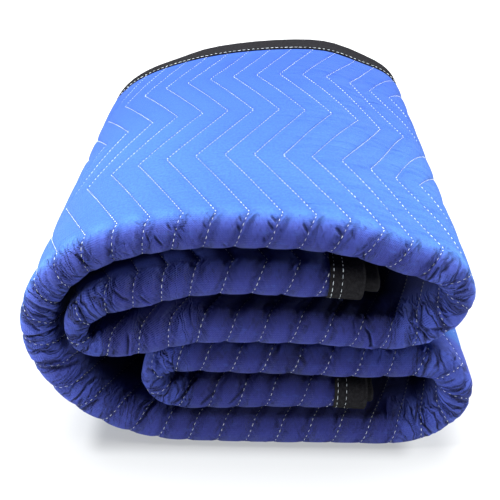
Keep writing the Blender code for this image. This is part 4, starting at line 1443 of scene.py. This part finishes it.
class BLANKET_OT_stitches(bpy.types.Operator):
    """Sew the quilting seams and the rows of stitches on the tapes"""

    bl_idname = "blanket.stitches"
    bl_label = "Stitches"

    def execute(self, context):
        scene = context.scene
        sewing = scene.blanket_stitches
        material = thread_material(sewing.colour)
        lift = 0.12 * sewing.width
        seams = seam_runs(MADE["relief"], scene.blanket_fabric, lift)
        quilting = stitched("quilting_thread", seams, (sewing.pitch, sewing.length, sewing.width), material)
        rows = tape_seam_runs(scene.blanket_tape, lift)
        longer = (1.10 * sewing.pitch, 1.35 * sewing.length, 0.85 * sewing.width)
        binding = stitched("tape_thread", rows, longer, material)
        MADE["thread"] = [stand_for(quilting, None, "stitch_thread"), stand_for(binding, None, "stitch_thread")]
        return {"FINISHED"}


class BLANKET_OT_stage(bpy.types.Operator):
    """Set up the pale floor, the soft lights and the camera"""

    bl_idname = "blanket.stage"
    bl_label = "Floor, Lights and Camera"

    def execute(self, context):
        scene = context.scene
        settings = scene.blanket_stage
        scene.view_settings.view_transform = "Standard"
        scene.view_settings.look = "None"
        pale_floor(settings)
        scene.world = white_room(settings.room)
        for name, power, size, spot, aim in (
            ("overhead_light", settings.key, (5.0, 4.0), (-0.2, 1.5, 3.2), (0, 1.0, 0)),
            ("right_light", settings.side, (1.2, 0.26), (1.9, -0.9, 0.15), (0, -0.2, 0.1)),
            ("left_light", 1.35 * settings.side, (1.2, 0.26), (-1.9, -0.9, 0.15), (0, -0.2, 0.1)),
        ):
            scene.collection.objects.link(soft_light(name, power, size, spot, aim))
        scene.camera = front_camera(settings.lens)
        scene.collection.objects.link(scene.camera)
        return {"FINISHED"}


def pale_floor(settings):
    """A wide floor that glows softly, with a painted shadow: its glow is lower close to the blanket."""
    data = bpy.data.meshes.new("pale_floor")
    data.from_pydata([(-6, -6, 0), (6, -6, 0), (6, 6, 0), (-6, 6, 0)], [], [(0, 1, 2, 3)])
    floor = bpy.data.objects.new("pale_floor", data)
    bpy.context.scene.collection.objects.link(floor)
    n = Nodes("pale_floor")
    places = n.parts(n.new("ShaderNodeTexCoord").outputs["Object"])
    beside = [
        n.math("MAXIMUM", n.math("SUBTRACT", n.math("ABSOLUTE", spot), reach), 0.0)
        for spot, reach in zip(places, FOOTPRINT)
    ]
    away = n.math("SQRT", n.add(n.math("POWER", beside[0], 2.0), n.math("POWER", beside[1], 2.0)))
    # painted shadow: the glow falls to 0.6 of itself at the blanket's footprint
    shadowed_glow = n.ramp(away, 0.0, 0.022, 0.6 * settings.glow, settings.glow)
    # far from the blanket, and seen straight, the floor runs over into the white room
    far = n.times(n.ramp(away, 0.7, 2.0), n.new("ShaderNodeLightPath").outputs["Is Camera Ray"])
    grey = (settings.floor, settings.floor, settings.floor)
    data.materials.append(n.finish(
        grey, Base_Color=(*grey, 1), Roughness=1.0, Specular_IOR_Level=0.0, Emission_Color=(0.955, 0.98, 1.0, 1),
        Emission_Strength=n.math("MULTIPLY_ADD", far, 1.0 - settings.glow, shadowed_glow),
    ))
    return floor


def white_room(light):
    """Seen straight, the room is white; its light on the blanket stays low."""
    world = bpy.data.worlds.new("room")
    world.use_nodes = True
    tree = world.node_tree
    background = tree.nodes["Background"]
    background.inputs["Color"].default_value = (1, 1, 1, 1)
    strength = tree.nodes.new("ShaderNodeMapRange")
    strength.inputs["To Min"].default_value, strength.inputs["To Max"].default_value = light, 1.0
    tree.links.new(tree.nodes.new("ShaderNodeLightPath").outputs["Is Camera Ray"], strength.inputs["Value"])
    tree.links.new(strength.outputs["Result"], background.inputs["Strength"])
    return world


def soft_light(name, power, size, spot, aim):
    data = bpy.data.lights.new(name, "AREA")
    data.energy, data.shape = power, "RECTANGLE"
    data.size, data.size_y = size
    light = bpy.data.objects.new(name, data)
    way = Vector(aim) - Vector(spot)
    light.matrix_world = Matrix.Translation(spot) @ way.to_track_quat("-Z", "Y").to_matrix().to_4x4()
    return light


def front_camera(lens):
    data = bpy.data.cameras.new("camera")
    data.lens, data.sensor_width = lens, 36.0
    camera = bpy.data.objects.new("camera", data)
    turn = Matrix.Rotation(math.radians(CAMERA_TURN), 4, "Z")
    tilt = Matrix.Rotation(math.radians(90 - CAMERA_TILT), 4, "X")
    camera.matrix_world = Matrix.Translation(CAMERA_SPOT) @ turn @ tilt
    return camera


class BLANKET_PT_panel(bpy.types.Panel):
    """Sizes, colours and steps of the moving blanket"""

    bl_label = "Moving Blanket"
    bl_idname = "BLANKET_PT_panel"
    bl_space_type = "VIEW_3D"
    bl_region_type = "UI"
    bl_category = "Moving Blanket"

    def draw(self, context):
        scene = context.scene
        for settings in (scene.blanket_fabric, scene.blanket_stitches, scene.blanket_tape, scene.blanket_stage):
            box = self.layout.box()
            for name in settings.__annotations__:
                box.prop(settings, name)
        for operator in OPERATORS:
            self.layout.operator(operator.bl_idname)


OPERATORS = (BLANKET_OT_cloth, BLANKET_OT_tapes, BLANKET_OT_stitches, BLANKET_OT_stage)
GROUPS = {
    "blanket_fabric": FabricSettings,
    "blanket_stitches": StitchSettings,
    "blanket_tape": TapeSettings,
    "blanket_stage": StageSettings,
}


def register():
    for group in (*GROUPS.values(), *OPERATORS, BLANKET_PT_panel):
        bpy.utils.register_class(group)
    for name, group in GROUPS.items():
        setattr(bpy.types.Scene, name, PointerProperty(type=group))


def unregister():
    for name in GROUPS:
        delattr(bpy.types.Scene, name)
    for group in (BLANKET_PT_panel, *reversed(OPERATORS), *reversed(GROUPS.values())):
        bpy.utils.unregister_class(group)


def main():
    register()
    bpy.ops.blanket.cloth()
    bpy.ops.blanket.tapes()
    bpy.ops.blanket.stitches()
    bpy.ops.blanket.stage()


if __name__ == "__main__":
    main()
